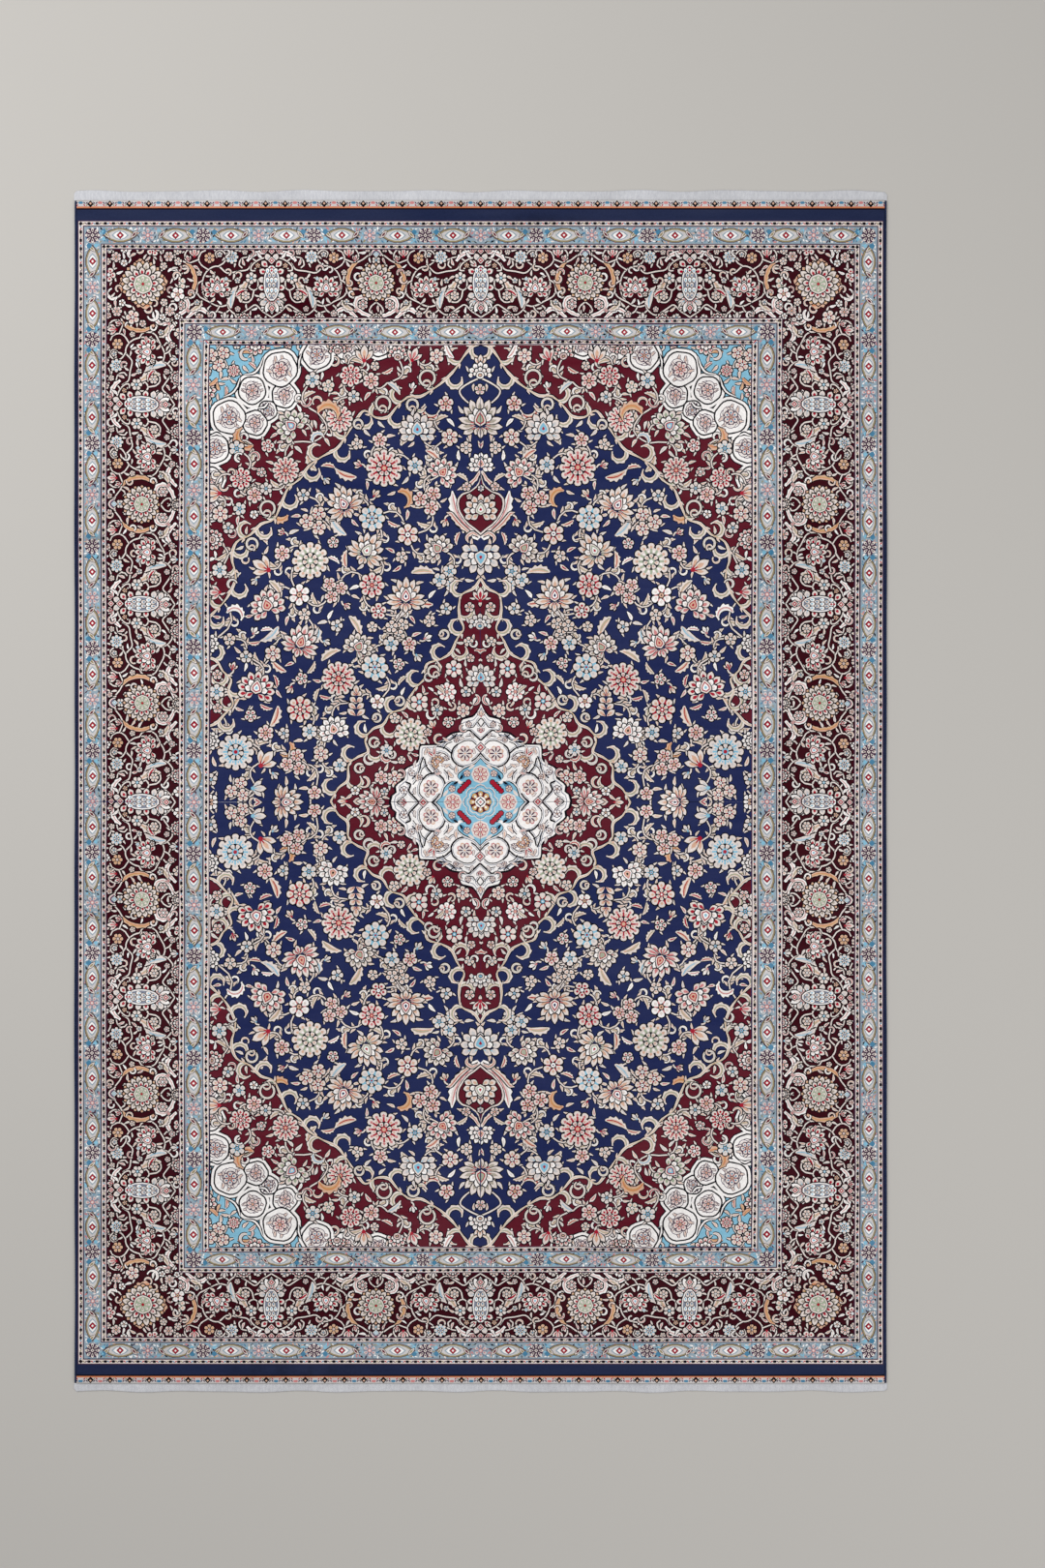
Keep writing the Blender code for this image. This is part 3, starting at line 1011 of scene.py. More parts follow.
# Dark lines on the star's upper arm: half the width, then the points. The side arm swaps X and Y.
STAR_LINES = (
    (1.5, ((0, 151), (14, 164), (28, 176), (44, 172), (50, 184))),
    (1.5, ((0, 106), (14, 94), (36, 86), (58, 92), (71, 110), (68, 130), (56, 142))),
    (1.3, ((0, 120), (10, 108), (22, 100))),
    (1.3, ((70, 118), (86, 132), (108, 138))),
    (1.2, ((58, 168), (74, 152), (98, 146), (112, 140))),
    (0.9, ((10, 140), (22, 150), (40, 150), (56, 142))),
    (0.9, ((44, 166), (56, 158), (72, 166))),
    (0.9, ((10, 196), (18, 184), (30, 184), (36, 194), (28, 200))),
    (0.9, ((0, 206), (8, 196), (0, 184))),
    (0.9, ((76, 104), (84, 116), (98, 122), (112, 118))),
    (0.8, ((54, 78), (68, 80), (80, 90))),
    (0.8, ((70, 148), (84, 142), (92, 130))),
    (0.8, ((18, 168), (26, 162), (38, 160))),
)
STAR_BLOOMS = blooms(
    "diamond 0 134 10 0 blush; diamond 141 0 10 0 blush; burst 38 119 20 0 blush; burst 122 36 20 0 blush;"
    "sprig 112 112 26 -20 ruby; sprig 112 112 26 -72 ruby; palmette 106 100 15 -45 gold;"
    "tulip 0 216 9 0 honey;"
    "sprig 66 60 24 -60 honey; sprig 58 68 24 -20 honey; tulip 0 176 8 0 ruby; tulip 190 0 10 -90 ruby;"
    "sprig 40 156 22 -100 frost; sprig 154 52 22 -20 moss; sprig 78 150 18 -80 moss;"
    "sprig 162 86 18 -10 frost;"
    "daisy 188 30 9 0 pearl; daisy 30 190 7 0 moss; sprig 16 158 16 -60 frost; sprig 160 20 16 -30 frost;"
    "sprig 122 126 16 -76 honey; sprig 136 116 16 -6 honey; daisy 84 108 6 0 moss; daisy 108 76 6 0 frost;"
    "sprig 88 84 18 40 moss; sprig 96 74 18 -130 blush; sprig 172 66 20 -20 frost; daisy 168 72 7 0 pearl;"
    "daisy 60 152 6 0 blush; daisy 148 62 6 0 blush; sprig 14 118 14 -30 rubied; sprig 126 14 14 -70 rubied"
)
# Rounds that cover the star: (x, y, radius).
STAR_ROOM = (
    (0, 0, 150), (0, 160, 48), (0, 196, 44), (160, 0, 56), (190, 0, 36), (104, 100, 50), (72, 140, 34),
    (150, 70, 36),
)


# --------------------------------------------------------------------------- filling


class Fill(NamedTuple):
    """What fills a gap of at least this many millimetres: the motif and its size to the gap."""

    room: float
    kind: Kind
    scale: float


FIELD_FILL = (
    Fill(21.0, Kind.DAISY, 0.62),
    Fill(17.0, Kind.TULIP, 0.52),
    Fill(14.0, Kind.LEAF, 2.1),
    Fill(11.0, Kind.SPRIG, 1.9),
)
MAROON_FILL = (
    Fill(14.0, Kind.DAISY, 0.72),
    Fill(9.0, Kind.HOOK, 3.6),
    Fill(6.4, Kind.SPRIG, 2.6),
)
BORDER_FILL = (
    Fill(10.0, Kind.DAISY, 0.7),
    Fill(7.4, Kind.HOOK, 3.5),
    Fill(5.0, Kind.SPRIG, 2.5),
)


@dataclass
class Scatter:
    """Fills what ground is left with small motifs, the widest gaps first."""

    chart: Chart
    seed: int
    pitch: float = 8.0

    def fill(
        self,
        needle: Needle,
        low: Pair,
        high: Pair,
        fills: tuple[Fill, ...],
        inside: Callable[[np.ndarray, np.ndarray], np.ndarray] | None = None,
    ) -> None:
        """Fills a rectangle, or a part of it.

        Args:
            needle: What draws the motifs.
            low: The rectangle's lower corner.
            high: Its upper corner.
            fills: What goes in a gap, the widest gap first.
            inside: Which places are filled, given their X and Y; all without it.
        """
        rng = np.random.default_rng(self.seed)
        axes = (np.arange(start + self.pitch / 2, end, self.pitch) for start, end in zip(low, high))
        places = np.stack(np.meshgrid(*axes), -1).reshape(-1, 2)
        places += rng.uniform(-0.45, 0.45, places.shape) * self.pitch
        if inside:
            places = places[inside(*places.T)]
        room = np.full(len(places), 40.0)
        nearest = places - (0, 1)
        seen = 0
        dresses = (Dress.HONEY, Dress.BLUSH, Dress.FROST, Dress.MOSS, Dress.PEARL, Dress.RUBY)
        while True:
            for x, y, radius in self.chart.taken[seen:]:
                gap = np.hypot(places[:, 0] - x, places[:, 1] - y) - radius
                nearer = gap < room
                room[nearer] = gap[nearer]
                nearest[nearer] = (x, y)
            seen = len(self.chart.taken)
            best = int(room.argmax())
            widest = min(room[best], 24.0)
            fits = [item for item in fills if widest >= item.room]
            if not fits:
                return
            kind, size = fits[0].kind, widest * fits[0].scale
            away = places[best] - nearest[best]
            heading = math.degrees(math.atan2(away[1], away[0])) - 90 + rng.uniform(-20, 20)
            place = Spot(*places[best], heading, bool(rng.integers(2)))
            foot = place.within(0, -widest)
            if kind in GREENS:
                place = foot
            elif size > 7:
                needle.vine(bow((foot.x, foot.y), (place.x, place.y), 0.25, 4))
            needle.draw(kind, place, size, dresses[rng.integers(len(dresses))])
            self.chart.taken.append((*places[best], widest * 0.8))


# --------------------------------------------------------------------------- the borders


def onto_side(across: float) -> Callable[[np.ndarray], np.ndarray]:
    """Turns a run's points onto the rug's side, with its middle line at this X."""
    return lambda points: np.column_stack([points[:, 1] + across, points[:, 0]])


def onto_end(along: float) -> Callable[[np.ndarray], np.ndarray]:
    """Moves a run's points onto the rug's end, with its middle line at this Y."""
    return lambda points: points + (0, along)


@dataclass
class MainBorder:
    """The broad dark border, drawn along a straight run and laid on the ends and sides.

    On the run's own chart X is the distance from the rug's axis and Y is outwards from the
    border's middle line.
    """

    chart: Chart
    bands: Bands
    seed: int = 23
    pitches: Pair = (514.0, 483.0)
    corner_at: Pair = (831.0, 1254.0)

    def run(self, length: float, pitch: float, width: float) -> Chart:
        """Draws half a side or half an end, up to the corner's middle.

        Args:
            length: Distance from the rug's axis to the corner rosette.
            pitch: Distance from one vase palmette to the next.
            width: The border's width.

        Returns:
            The run's own chart.
        """
        own = Chart()
        own.box((0, -width / 2), (length + width / 2, width / 2), Dye.COCOA)
        needle = Needle(own, Dye.DUSK, 2.5)
        vases = int((length - 0.3 * pitch) // pitch) + 1
        for index in range(vases):
            self.group(needle, index * pitch, pitch / 2, 1)
            if index:
                self.group(needle, index * pitch, pitch / 2, -1)
        for index in range(vases):
            self.vase(needle, index * pitch)
            if index < vases - 1:
                self.round_rosette(needle, Spot((index + 0.5) * pitch, 2))
        limits = (0, -width / 2), (length - width / 2, width / 2)
        Scatter(own, self.seed, 5.5).fill(needle, *limits, BORDER_FILL)
        return own

    def round_rosette(self, needle: Needle, spot: Spot, size: float = 46) -> None:
        """Draws the broad rosette: feathery petals with red tips round a grey-green disc."""
        needle.petals(spot.within(0, 0, 11), 16, 337.5, size * 1.04, size * 0.2, Dress.GOLD, 0.7)
        needle.petals(spot, 16, 337.5, size, size * 0.26, Dress.OPAL, 0.5)
        needle.petals(spot.within(0, 0, 11), 12, 330, size * 0.74, size * 0.24, Dress.TIPPED, 0.45)
        for radius, dye in ((0.48, needle.shade), (0.44, Dye.CREAM), (0.38, Dye.SAGE)):
            needle.chart.lay(scallop(size * radius, 8, 0.1), dye, spot)
        needle.ring(spot, 8, size * 0.1, size * 0.34, (Dye.CREAM, Dye.SAND), 0.6)
        needle.chart.lay(disc(size * 0.08, 5), Dye.MADDER, spot)
        needle.chart.claim(spot, size)

    def vase(self, needle: Needle, middle: float) -> None:
        """Draws a vase palmette: a tall pale oval ringed with petals, on a spread foot."""
        spot = Spot(middle, 2)
        lay = needle.chart.lay
        needle.petals(spot.within(0, -30, 180), 7, 120, 44, 13, Dress.PEARL, 0.25)
        for rise, turn in ((-36, 118), (-24, 104), (-10, 92), (4, 80), (18, 66), (30, 48), (40, 24)):
            for aside in (-1, 1):
                place = spot.within(0, rise, aside * turn)
                needle.petals(place, 1, 0, 33, 14, Dress.TIPPED if rise % 4 else Dress.FROST, 0.4)
        for width, height, dye in ((44, 90, needle.shade), (39, 85, Dye.IVORY), (33, 78, Dye.STEEL)):
            lay(oval(width, height), dye, spot)
        for row, rise in enumerate((-36, -24, -12, 0, 12, 22)):
            for place in (-10, 0, 10) if row % 2 else (-5, 5):
                scale = spot.within(place, rise)
                lay(petal_of(-1.5, 15, 12), needle.shade, scale)
                lay(petal_of(0, 13.5, 9.4), Dye.IVORY if row % 2 else Dye.CREAM, scale)
                lay(blade(7, 4.4, 1, 3, 1), Dye.SKY if row % 2 else Dye.TEAL, scale)
        for rise in (30, 37):
            lay(disc(3.4, 4), Dye.MADDER, spot.within(0, rise))
        for y, size, dress in ((54, 8, Dress.RUBY), (-60, 8, Dress.RUBY), (76, 7, Dress.BLUSH)):
            needle.draw(Kind.DIAMOND, spot.within(0, y), size, dress)
        needle.chart.claim(spot, 30, 0, 22)
        needle.chart.claim(spot, 30, 0, -26)

    def group(self, needle: Needle, middle: float, half: float, way: int) -> None:
        """Draws what stands between a vase palmette and the next round rosette.

        Args:
            needle: What draws it.
            middle: Where the vase palmette is.
            half: Distance to the round rosette.
            way: 1 to draw away from the rug's axis and -1 to draw towards it.
        """
        stretch = half / 257
        reach = np.array([way * stretch, 1.0])
        for line in BORDER_LINES:
            needle.vine(smooth(np.array(line) * reach + (middle, 0)), 1.6)
        for line, dress in BORDER_SCROLLS:
            needle.acanthus(np.array(line) * reach + (middle, 0), 4.8, dress)
        for bloom in BORDER_BLOOMS:
            spot = Spot(middle + way * bloom.x * stretch, bloom.y, way * bloom.turn, way < 0)
            needle.draw(bloom.kind, spot, bloom.size, bloom.dress)

    def draw(self) -> None:
        """Lays the border's runs on the quarter, with the corner rosette on top."""
        inner, outer = self.bands.frame_dots, self.bands.main
        middle = [(near + far) / 2 for near, far in zip(inner, outer)]
        side = self.run(self.corner_at[1], self.pitches[1], outer[0] - inner[0] + 6)
        self.chart.add(side, onto_side(middle[0]))
        end = self.run(self.corner_at[0], self.pitches[0], outer[1] - inner[1] + 6)
        self.chart.add(end, onto_end(middle[1]))
        self.chart.box(inner, outer, Dye.COCOA)
        own = Chart()
        needle = Needle(own, Dye.DUSK, 2.5)
        centre = Spot(*self.corner_at)
        for turn in (0, 90, 180, 270):
            arm = centre.within(0, 0, turn)
            needle.draw(Kind.CURL, arm.within(50, -20, -20), 92, Dress.GOLD)
            needle.draw(Kind.HOOK, arm.within(30, 62, -60), 50, Dress.PEARL)
            needle.draw(Kind.SIX, arm.within(66, 64), 12, Dress.BLUSH)
        self.round_rosette(needle, centre, 54)
        Scatter(own, self.seed, 5.5).fill(needle, inner, outer, BORDER_FILL)
        self.chart.shapes.extend(own.shapes)


# What stands beside a vase palmette, for a spacing of 257 mm to the round rosette.
BORDER_BLOOMS = blooms(
    "leaf 76 -44 60 -10 moss; leaf 100 -58 58 -14 frost; leaf 88 -30 34 30 ruby; leaf 172 -40 40 -160 moss;"
    "six 50 14 14 0 rubied; diamond 30 -38 6 0 pearl; six 64 -28 11 0 honey; fan 68 -88 20 0 ruby;"
    "palmette 134 -10 30 0 ruby; eight 98 64 16 0 frost; six 153 62 13 0 gold; tulip 190 74 12 0 blush;"
    "six 224 -50 12 0 ruby; daisy 84 8 7 0 frost; daisy 110 -24 6 0 blush; diamond 168 -8 5 0 ruby;"
    "daisy 84 -60 7 0 ruby; daisy 128 70 7 0 frost; diamond 112 12 5 0 frost; daisy 184 -44 7 0 frost;"
    "daisy 34 44 6 0 gold; tulip 18 80 8 0 ruby; daisy 178 26 7 0 honey; diamond 206 -64 5 0 ruby;"
    "daisy 236 42 7 0 frost; daisy 152 -72 8 0 ruby; tulip 116 -78 9 0 frost; daisy 236 82 7 0 blush;"
    "daisy 66 76 7 0 honey; six 257 56 10 0 rubied; diamond 257 70 7 0 frost; fan 257 -86 16 0 honey;"
    "tulip 206 60 8 -20 ruby; sprig 24 62 18 -60 pearl; sprig 66 44 18 -40 blush; hook 200 -20 26 60 pearl"
)
# Broad leaves, each from its tip to its foot.
BORDER_SCROLLS = (
    (
        ((222, -52), (232, -44), (226, -33), (211, -36), (206, -53), (219, -68), (238, -76), (257, -82)),
        Dress.PEARL,
    ),
    (((150, -84), (160, -68), (178, -60), (196, -70), (210, -83)), Dress.PEARL),
    (((212, 50), (198, 40), (189, 20), (189, -4), (202, -28)), Dress.GOLD),
    (((244, 68), (250, 76), (257, 80), (264, 76), (270, 68)), Dress.CORNER),
    (((12, 73), (30, 75), (48, 68), (60, 54)), Dress.PEARL),
)
BORDER_LINES = (
    (
        (48, 50), (60, 34), (84, 30), (110, 26), (131, 42), (156, 34), (170, 8), (168, -24), (152, -44),
        (129, -54), (108, -50),
    ),
    ((0, 64), (20, 62), (38, 54), (50, 42), (50, 32), (40, 32)),
    ((38, 54), (54, 64), (74, 60), (80, 46), (72, 38)),
    ((131, 42), (116, 52), (112, 68), (124, 80), (138, 74), (134, 62)),
    ((156, 34), (172, 44), (180, 58), (174, 74), (162, 80)),
    ((180, 58), (204, 50), (222, 56), (238, 68), (257, 78)),
    ((0, -80), (22, -66), (40, -50), (58, -60), (84, -74), (104, -62), (108, -50)),
    ((34, 12), (34, -8), (44, -15), (56, -8), (52, 0)),
    ((44, -15), (48, -34), (60, -44), (76, -40), (78, -24), (66, -14)),
    ((170, 8), (182, 0), (184, -18), (176, -32), (152, -44)),
    ((184, -18), (194, -34), (207, -32)),
    ((24, 28), (30, 40), (42, 36)),
    ((24, -28), (14, -50), (24, -64)),
    ((129, -54), (136, -66), (148, -70), (158, -60), (150, -52)),
    ((104, -62), (116, -70), (132, -66)),
    ((204, 50), (214, 66), (208, 80), (194, 84)),
    ((257, -44), (244, -54), (240, -66), (250, -72)),
    ((60, 84), (76, 78), (92, 84)),
    ((257, 84), (244, 76), (240, 66)),
)


@dataclass
class Guards:
    """The narrow stripes: dotted white lines, light-blue guard borders, the plain navy band.

    Attributes:
        chart: What they are laid on.
        bands: Where they lie.
        seed: Of the flecks in the guards.
        fleck_pitch: Distance from one row of flecks to the next.
        dot_pitch: Distance from a dot to the next pair of leaves.
        flower_pitch: Distance from one flower of the end band to the next.
        flowers: How many the end band has in a quarter.
    """

    chart: Chart
    bands: Bands
    seed: int = 5
    fleck_pitch: float = 7.0
    dot_pitch: float = 10.0
    flower_pitch: float = 24.0
    flowers: int = 44

    def draw(self) -> None:
        """Lays all the stripes."""
        bands = self.bands
        self.chart.frame((bands.whole[0] + 3, bands.plain[1]), bands.outer_guard, Dye.INK)
        self.chart.frame((bands.whole[0] + 3, bands.plain[1] - 2.5), bands.outer_guard, Dye.PLAIN)
        self.guard(bands.outer_guard, bands.outer_dots, (3, 5))
        self.guard(bands.inner_guard, bands.inner_dots, (2, 4))
        for outer, inner in (
            (bands.edge_dots, bands.outer_guard),
            (bands.outer_dots, bands.main),
            (bands.frame_dots, bands.inner_guard),
            (bands.inner_dots, bands.field),
        ):
            self.dots(outer, inner)
        self.end_flowers()

    def end_flowers(self) -> None:
        """Draws the narrow band of small flowers at the rug's end."""
        low, high = self.bands.plain[1], self.bands.whole[1]
        width = self.bands.whole[0] + 3
        self.chart.box((0, low), (width, high + 3), Dye.PEBBLE)
        self.chart.box((0, low), (width, low + 1.2), Dye.INK)
        self.chart.box((0, low + 1.2), (width, low + 5.0), Dye.ORANGE)
        self.chart.box((0, high - 1.2), (width, high + 3), Dye.SAND)
        for index in range(self.flowers):
            spot = Spot(self.flower_pitch * index, (low + high) / 2 + 1)
            if index % 2 == 0:
                for size, dye, rise in ((8.4, Dye.INK, 0), (3.2, Dye.PEACH, 1.5)):
                    self.chart.lay(disc(size, 4), dye, spot.within(0, rise))
            else:
                tint = Dye.TEAL if index % 4 == 1 else Dye.ROSE
                self.chart.lay(oval(13, 7, 6), tint, spot.within(0, 3))
            for aside in (-1, 1):
                for rise, dye in ((2.5, Dye.PLUM), (-3, Dye.MADDER if index % 2 else Dye.OLIVE)):
                    self.chart.lay(blade(8, 3.6, 1, -4, 1), dye, spot.within(aside * 9, rise, aside * 40))

    def dots(self, outer: Pair, inner: Pair) -> None:
        """Draws one dotted white line round the quarter, with a dark thread along both edges."""
        self.chart.frame(outer, inner, Dye.PLUM)
        self.chart.frame((outer[0] - 2.2, outer[1] - 2.2), (inner[0] + 2.8, inner[1] + 2.8), Dye.CREAM)
        tints = (Dye.MADDER, Dye.OLIVE, Dye.TEAL, Dye.PLUM)
        for axis in (0, 1):
            across = (outer[1 - axis] + inner[1 - axis]) / 2 + 0.3
            reach = (outer[axis] + inner[axis]) / 2
            count = round(reach / self.dot_pitch)
            for index in range(count + 1):
                along = reach * index / count
                spot = Spot(along, across) if axis == 0 else Spot(across, along, 90)
                if index % 2 == 0:
                    self.chart.lay(oval(10.5, 7.5, 6), Dye.INK, spot)
                else:
                    for aside in (-1, 1):
                        leaf = spot.within(2.6 * aside, 0, 52 * aside)
                        self.chart.lay(blade(9, 3.4, 1, -4.5, 1), tints[(index // 2 + aside) % 4], leaf)

    def guard(self, outer: Pair, inner: Pair, repeats: tuple[int, int]) -> None:
        """Draws one light-blue guard border round the quarter.

        Args:
            outer: Its outer edge, across and along the rug.
            inner: Its inner edge.
            repeats: How many whole repeats fit along an end's half and a side's half.
        """
        self.chart.frame(outer, inner, Dye.MIST)
        for axis, onto in ((0, onto_end), (1, onto_side)):
            across = (outer[1 - axis] + inner[1 - axis]) / 2
            reach = (outer[axis] + inner[axis]) / 2
            half = (outer[1 - axis] - inner[1 - axis]) / 2
            step = reach / (repeats[axis] + 0.5) / 4
            own = Chart()
            self.flecks(own, reach, half)
            for turn in range(int(reach / step + 1.5)):
                self.guard_motif(own, turn * step, step, half, turn % 4)
            self.chart.add(own, onto(across))

    def flecks(self, own: Chart, reach: float, half: float) -> None:
        """Strews short strokes of the other colours over a guard's ground."""
        rng = np.random.default_rng(self.seed)
        for x in np.arange(4, reach, self.fleck_pitch):
            for y in (-0.7, -0.24, 0.24, 0.7):
                place = x + rng.uniform(-3, 3), half * (y + rng.uniform(-0.12, 0.12))
                spot = Spot(*place, rng.uniform(0, 180))
                length = rng.uniform(8, 13)
                stroke = blade(length, rng.uniform(2.5, 5), 1, -length / 2, 1)
                own.lay(stroke, FLECK_TINTS[rng.integers(len(FLECK_TINTS))], spot)

    def guard_motif(self, own: Chart, x: float, step: float, half: float, turn: int) -> None:
        """Draws one motif of a guard: a pink flower, a red lozenge in a leaf arch or a dark rosette.

        Args:
            own: The guard's own chart.
            x: Its place along the guard.
            step: Distance to the next motif.
            half: Half the guard's width.
            turn: 0 for the pink flower, 2 for the dark rosette, 1 and 3 for the lozenge.
        """
        spot = Spot(x)
        lay = own.lay
        needle = Needle(own, Dye.PLUM, 0.8)
        if turn == 0:
            lay(scallop(half * 0.84, 6, 0.2), Dye.STEEL, spot)
            needle.ring(spot, 6, half * 0.26, half * 0.8, (Dye.PEBBLE, Dye.ROSE), 0.7)
            for share, dye in ((0.28, Dye.ROSE), (0.16, Dye.CREAM)):
                lay(disc(half * share, 5), dye, spot)
        elif turn == 2:
            for aside in (-1, 1):
                lay(scallop(half * 0.34, 4, 0.3), Dye.TEAL, spot.within(aside * step * 0.4, half * 0.4))
                lay(scallop(half * 0.26, 4, 0.3), Dye.SKY, spot.within(aside * step * 0.4, -half * 0.4))
            lay(scallop(half * 0.92, 8, 0.24), Dye.PLUM, spot)
            needle.ring(spot, 8, half * 0.3, half * 0.9, (Dye.CREAM, Dye.INK), 0.62)
            for share, dye in ((0.34, Dye.INK), (0.24, Dye.CREAM), (0.1, Dye.PLUM)):
                lay(disc(half * share, 4), dye, spot)
        else:
            way = 1 if turn == 3 else -1
            for width, height, dye in EYE_RINGS:
                length = width * step
                lay(blade(length, height * half, 1, -length / 2, 4), dye, spot.within(0, 0, 90))
            for share, dye in ((0.46, Dye.INK), (0.38, Dye.MADDER), (0.16, Dye.IVORY)):
                lay(disc(half * share, 4), dye, spot)
            for aside in (-1, 1):
                bud = spot.within(step * 0.5 * aside, half * 0.1, 42 * way * aside)
                lay(blade(half * 1.4, half * 0.56, 1, -half * 0.7, 2), Dye.INK, bud)
                lay(blade(half * 1.2, half * 0.42, 1, -half * 0.6, 2), Dye.CREAM, bud)
                vein = Dye.MAROON if aside == way else Dye.OLIVE
                lay(blade(half * 0.8, half * 0.26, 1, -half * 0.4, 1), vein, bud)


FLECK_TINTS = (
    Dye.SKY, Dye.TEAL, Dye.IVORY, Dye.OLIVE, Dye.PEACH, Dye.INK, Dye.IVORY, Dye.PLUM, Dye.CREAM, Dye.ROSE,
)
# The leaf arch round a guard's lozenge: length to the step, height to half the width, colour.
EYE_RINGS = (
    (1.3, 1.8, Dye.PLUM), (1.22, 1.64, Dye.OLIVE), (1.04, 1.3, Dye.PEBBLE), (0.62, 1.12, Dye.MIST),
    (0.5, 0.9, Dye.IVORY),
)


def draw_quarter(bands: Bands) -> Chart:
    """Draws the pattern of one quarter of the rug.

    Args:
        bands: Where the borders change.

    Returns:
        The finished chart.
    """
    chart = Chart()
    chart.box((0, 0), (bands.whole[0] + 3, bands.whole[1] + 3), Dye.COCOA)
    FlowerField(chart, bands).draw()
    MainBorder(chart, bands).draw()
    Guards(chart, bands).draw()
    return chart


# --------------------------------------------------------------------------- the lie of the rug


@dataclass(frozen=True)
class Wave:
    """One gentle wave: its height, its length and where it starts, in metres."""

    height: float
    length: float
    start: float

    def at(self, distance: np.ndarray) -> np.ndarray:
        """The wave's height at each distance."""
        return self.height * np.sin(2 * np.pi * (distance - self.start) / self.length)


def wave_sum(waves: tuple[Wave, ...], distance: np.ndarray) -> np.ndarray:
    """The height of several waves together."""
    return sum(wave.at(distance) for wave in waves)


def crest(waves: tuple[Wave, ...], half_run: float, stations: int = 601) -> float:
    """The furthest that these waves reach along an edge this long each way from its middle."""
    return float(wave_sum(waves, np.linspace(-half_run, half_run, stations)).max())


HEAD_EDGE_WAVES = (Wave(0.0016, 0.262, 0.045), Wave(0.0009, 0.171, 0.020), Wave(0.0006, 0.940, 0.300))
FOOT_EDGE_WAVES = (Wave(0.0015, 0.248, 0.110), Wave(0.0009, 0.158, 0.070), Wave(0.0006, 0.870, 0.100))


@dataclass(frozen=True)
class Lie:
    """How the rug lies: its outline, its swells and where the pattern's centre falls, in metres.

    Attributes:
        head: Y of the pile's end at the rug's head.
        foot: Y of the pile's end at its foot.
        edge_rounding: Radius of the pile's outer edges.
        centre_shift: How far the woven centre lies from the middle.
        wander: How the weaver's lines stray sideways and lengthwise.
    """

    head: float
    foot: float
    half_width: float = 1.0
    half_length: float = 1.479
    cord_width: float = 0.0055
    seam_gap: float = 0.0003
    pile_height: float = 0.0070
    edge_rounding: float = 0.0016
    centre_shift: float = -0.0248
    side_waves: tuple[Wave, ...] = (Wave(0.0007, 1.370, 0.200), Wave(0.0004, 0.410, 0.090))
    across: tuple[Wave, ...] = (Wave(0.00030, 0.830, 0.110), Wave(0.00020, 0.370, 0.260))
    along: tuple[Wave, ...] = (Wave(0.00035, 0.960, 0.350), Wave(0.00025, 0.430, 0.050))
    slant: Wave = Wave(0.00030, 1.250, 0.500)
    slant_angle: float = math.radians(32)
    wander: tuple[Wave, ...] = (Wave(0.0010, 0.530, 0.040), Wave(0.0007, 0.290, 0.170))

    @property
    def side_crest(self) -> float:
        """The furthest that a side's waves reach."""
        return crest(self.side_waves, self.half_length)

    def swell(self, x: np.ndarray, y: np.ndarray) -> np.ndarray:
        """How far the pile stands above or below its mean height."""
        slanted = x * math.cos(self.slant_angle) + y * math.sin(self.slant_angle)
        return wave_sum(self.across, x) + wave_sum(self.along, y) + self.slant.at(slanted)

    def side_line(self, side: float, y: np.ndarray) -> np.ndarray:
        """X of the outer face of a long side's cord."""
        return side * (self.half_width - self.side_crest + wave_sum(self.side_waves, side * y))

    def place(self, points: np.ndarray) -> np.ndarray:
        """Moves pattern points, in millimetres, to where they lie on the rug's face.

        Args:
            points: Pattern points, with signs for the quarter.

        Returns:
            Points in metres, in the rug's frame.
        """
        across, along = points[:, 0] * MM, points[:, 1] * MM
        half, middle = (self.head - self.foot) / 2, (self.head + self.foot) / 2
        share = np.clip(np.abs(along) / half, 0, 1)
        y = middle + along + self.centre_shift * (1 - share**2)
        pile_half = self.half_width - self.cord_width - self.seam_gap
        spread = np.clip(np.abs(across) / pile_half, 0, 1)
        side = np.sign(across)
        x = across + side * spread**4 * (wave_sum(self.side_waves, side * y) - self.side_crest)
        x += (1 - spread**6) * wave_sum(self.wander, y)
        y += (1 - share**6) * wave_sum(self.wander, x)
        radius = self.edge_rounding
        inset = np.minimum(pile_half - np.abs(across), half - np.abs(along))
        short = np.clip(radius - inset, 0, radius)
        drop = radius - np.sqrt(radius**2 - short**2)
        return np.column_stack([x, y, self.pile_height + self.swell(x, y) - drop])


class Cut(NamedTuple):
    """A flat triangle mesh: its points in millimetres, its triangles and a colour number for each."""

    points: np.ndarray
    triangles: np.ndarray
    shades: np.ndarray


def directed_edges(triangles: np.ndarray) -> tuple[np.ndarray, np.ndarray]:
    """Each triangle's three edges, each with that triangle on its left, and the triangle of each."""
    ends = np.concatenate([triangles[:, [0, 1]], triangles[:, [1, 2]], triangles[:, [2, 0]]])
    return ends, np.tile(np.arange(len(triangles)), 3)


